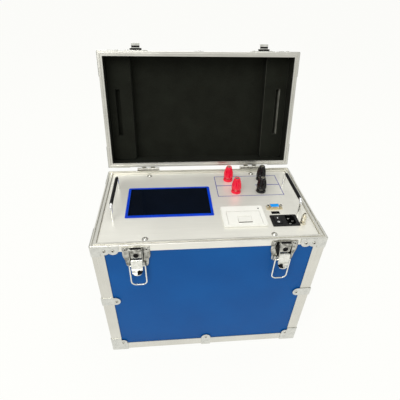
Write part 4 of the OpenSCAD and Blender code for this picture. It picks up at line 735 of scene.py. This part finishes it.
# Mains inlet and rocker switch
# One black moulding snapped into the panel holds a three-blade inlet and a rocker marked I and O.
# Moulded polyamide is black with a low gloss, and the marks are printed white.
black_polyamide = finish("moulded_polyamide_black", "#131314", "#0b0b0c", (0.0007, 0.0007, 0.0007), 0.00002,
                         0.36, ior=1.53, patch=0.012, Specular_IOR_Level=0.2)
soften("inlet_housing", "inlet_moulding", 0.0003, black_polyamide)
soften("rocker_switch", "power_rocker_cap", 0.0004, black_polyamide)
dress(rivet_steel, "inlet_pins")
mark_white = finish("pad_print_white", "#f0f0ee", "#e2e2df", (0.0004, 0.0004, 0.0004), 0.00001, 0.5,
                    ior=1.48, patch=0.003)
# The rocker rests at 7 degrees, and each half of its face falls 1.2 mm to the middle over 9.4 mm
rocker_x, rocker_y, half_face = 0.1269, -0.0635, 4.7
rocker_mm = (Matrix.Translation((rocker_x, rocker_y, panel_z)) @ Matrix.Rotation(math.radians(7), 4, "X")
             @ in_mm)
slope = math.atan2(1.2, 2 * half_face)
on_mark = rocker_mm @ Matrix.Translation((0, half_face, 3)) @ Matrix.Rotation(slope, 4, "X")
off_mark = rocker_mm @ Matrix.Translation((0, -half_face, 3)) @ Matrix.Rotation(-slope, 4, "X")
printed("rocker_mark_on", [(0, 0, 1.1, 3.8)], mark_white, "rocker_switch", on_mark)
circle = turned([(1.1, 0), (2.1, 0), (2.1, 0.05), (1.1, 0.05)], width=0, steps=32)
circle.transform(off_mark)
add_piece("rocker_mark_off", circle, [mark_white], "rocker_switch")


# Serial and USB sockets
# A nine-pin socket: a yellow-passivated steel shell round a sky-blue insert, between two jack screws.
# The USB socket in front of it is a black frame round a dark tongue.
gold_passivated = finish("yellow_passivated_steel", "#fbf0d4", "#dccba0", (0.0008, 0.0008, 0.0008), 0.00001,
                         0.35, 0.06, metallic=0.8, patch=0.004)
soften("serial_shell", "serial_socket_shell", 0.00012, gold_passivated)
insert_blue = finish("moulded_insert_blue", "#08a4fa", "#0494ee", (0.0005, 0.0005, 0.0005), 0.00001, 0.45,
                     ior=1.53, patch=0.004, Specular_IOR_Level=0.25)
soften("serial_insert", "serial_socket_insert", 0.0001, insert_blue)
soften("usb_socket", "usb_socket_frame", 0.0001, black_polyamide)


# Ground post and terminal studs
# Turned brass, thinly nickelled: a threaded post with a knurled thumb nut, and a stud up the middle of each
# terminal with a plug hole in its end. The plating wears to a dull straw colour.
post_brass = finish("worn_nickel_on_brass", "#faf8ee", "#d2c8ae", (0.0007, 0.0007, 0.0007), 0.00002, 0.28,
                    0.07, metallic=0.8, patch=0.005)
dress(post_brass, "terminal_studs", "ground_nut")


# Terminals
# Four binding posts, two red and two black: a low collar that insulates the stud from the panel, and a
# bullet-shaped cap with six grip flutes that screws down on it. Both are glossy moulded nylon.
glossy_red = finish("moulded_nylon_red", "#ff0c3c", "#f40230", (0.002, 0.002, 0.002), 0.00001, 0.13, 0.03,
                    ior=1.53, patch=0.01, Specular_IOR_Level=0.5)
glossy_black = finish("moulded_nylon_black", "#0a0a0b", "#050506", (0.002, 0.002, 0.002), 0.00001, 0.1,
                      0.03, ior=1.53, patch=0.01, Specular_IOR_Level=0.32)
# The posts stand in pairs about a line, the back pair wider apart, and the caps start over the collars
posts_x, back_apart, back_y, front_apart, front_y, cap_low = 92.2, 35.5, 77.4, 25.8, 32.8, 8.4
posts = {"red_cap_back": (posts_x - back_apart, back_y),
         "red_cap_front": (posts_x - front_apart, front_y),
         "black_cap_back": (posts_x + back_apart, back_y),
         "black_cap_front": (posts_x + front_apart, front_y)}
collar_outline = [(4.06, -5.5), (9, -5.5), (9, -2.5), (5, -2.5), (5, 0), (10, 0), (10, 0.9), (9.2, 4.3),
                  (9.2, 5), (4.06, 5)]
cap_outline = [(4.06, 0), (9.3, 0), (9.8, 0.3), (9.95, 1), (9.95, 2.4), (9.9, 4), (9.8, 5.6), (9.6, 7.4),
               (9.35, 9.4), (9.05, 11.4), (8.7, 13.4), (8.3, 15.4), (7.85, 17.2), (7.3, 18.9), (6.75, 20.4),
               (6.3, 21.6), (6, 22.5), (5.75, 23.2), (5.4, 23.8), (5, 24.15), (4.5, 24.3), (4.06, 24.2)]
# Each flute is a round groove that leans in with the cap and fades out at its foot and top
flutes, flute_r, flute_out, flute_lean, flute_foot, flute_top = 6, 3, 10.9, 0.17, 4.4, 23
for colour, plastic in (("red", glossy_red), ("black", glossy_black)):
    feet = [posts[colour + "_cap_" + row] + (0,) for row in ("back", "front")]
    collars = turned(collar_outline, feet, 64)
    collars.transform(panel_mm)
    add_piece(colour + "_terminal_collars", collars, [plastic], "case",
              [colour + "_collars"])
    for row in ("back", "front"):
        node = colour + "_cap_" + row
        cap = turned(cap_outline, steps=120, width=0)
        for vert in cap.verts:
            radius = math.hypot(vert.co.x, vert.co.y)
            turn = math.remainder(math.atan2(vert.co.y, vert.co.x), math.tau / flutes)
            centre = flute_out - flute_lean * (vert.co.z - 6)
            reach = flute_r ** 2 - (centre * math.sin(turn)) ** 2
            if radius > 5.2 and flute_foot < vert.co.z < flute_top and reach > 0:
                groove = centre * math.cos(turn) - math.sqrt(reach)
                fade = min(1, (vert.co.z - flute_foot) / 2, (flute_top - vert.co.z) / 2)
                depth = max(0, radius - groove) * fade
                vert.co.x *= (radius - depth) / radius
                vert.co.y *= (radius - depth) / radius
        cap.transform(panel_mm @ Matrix.Translation(posts[node] + (cap_low,)))
        add_piece(node + "_knob", cap, [plastic], frame["nodes"][node]["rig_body"],
                  [node], sharp=50, even=False)


# Carrying handles
# Two bent steel bars, chrome plated, bolted up through the panel, each in a black rubber sleeve.
# Chrome mirrors the panel and the room sharply, and the sleeves are as dull as the feet.
chrome = finish("chrome_plated_bar", "#ececea", "#dfdfdd", (0.002, 0.002, 0.002), 0.000004, 0.1, 0.03,
                metallic=1, patch=0.01)
dress(chrome, "handle_rods")
soften("handle_grips", "handle_sleeves", 0.0005, foot_rubber)
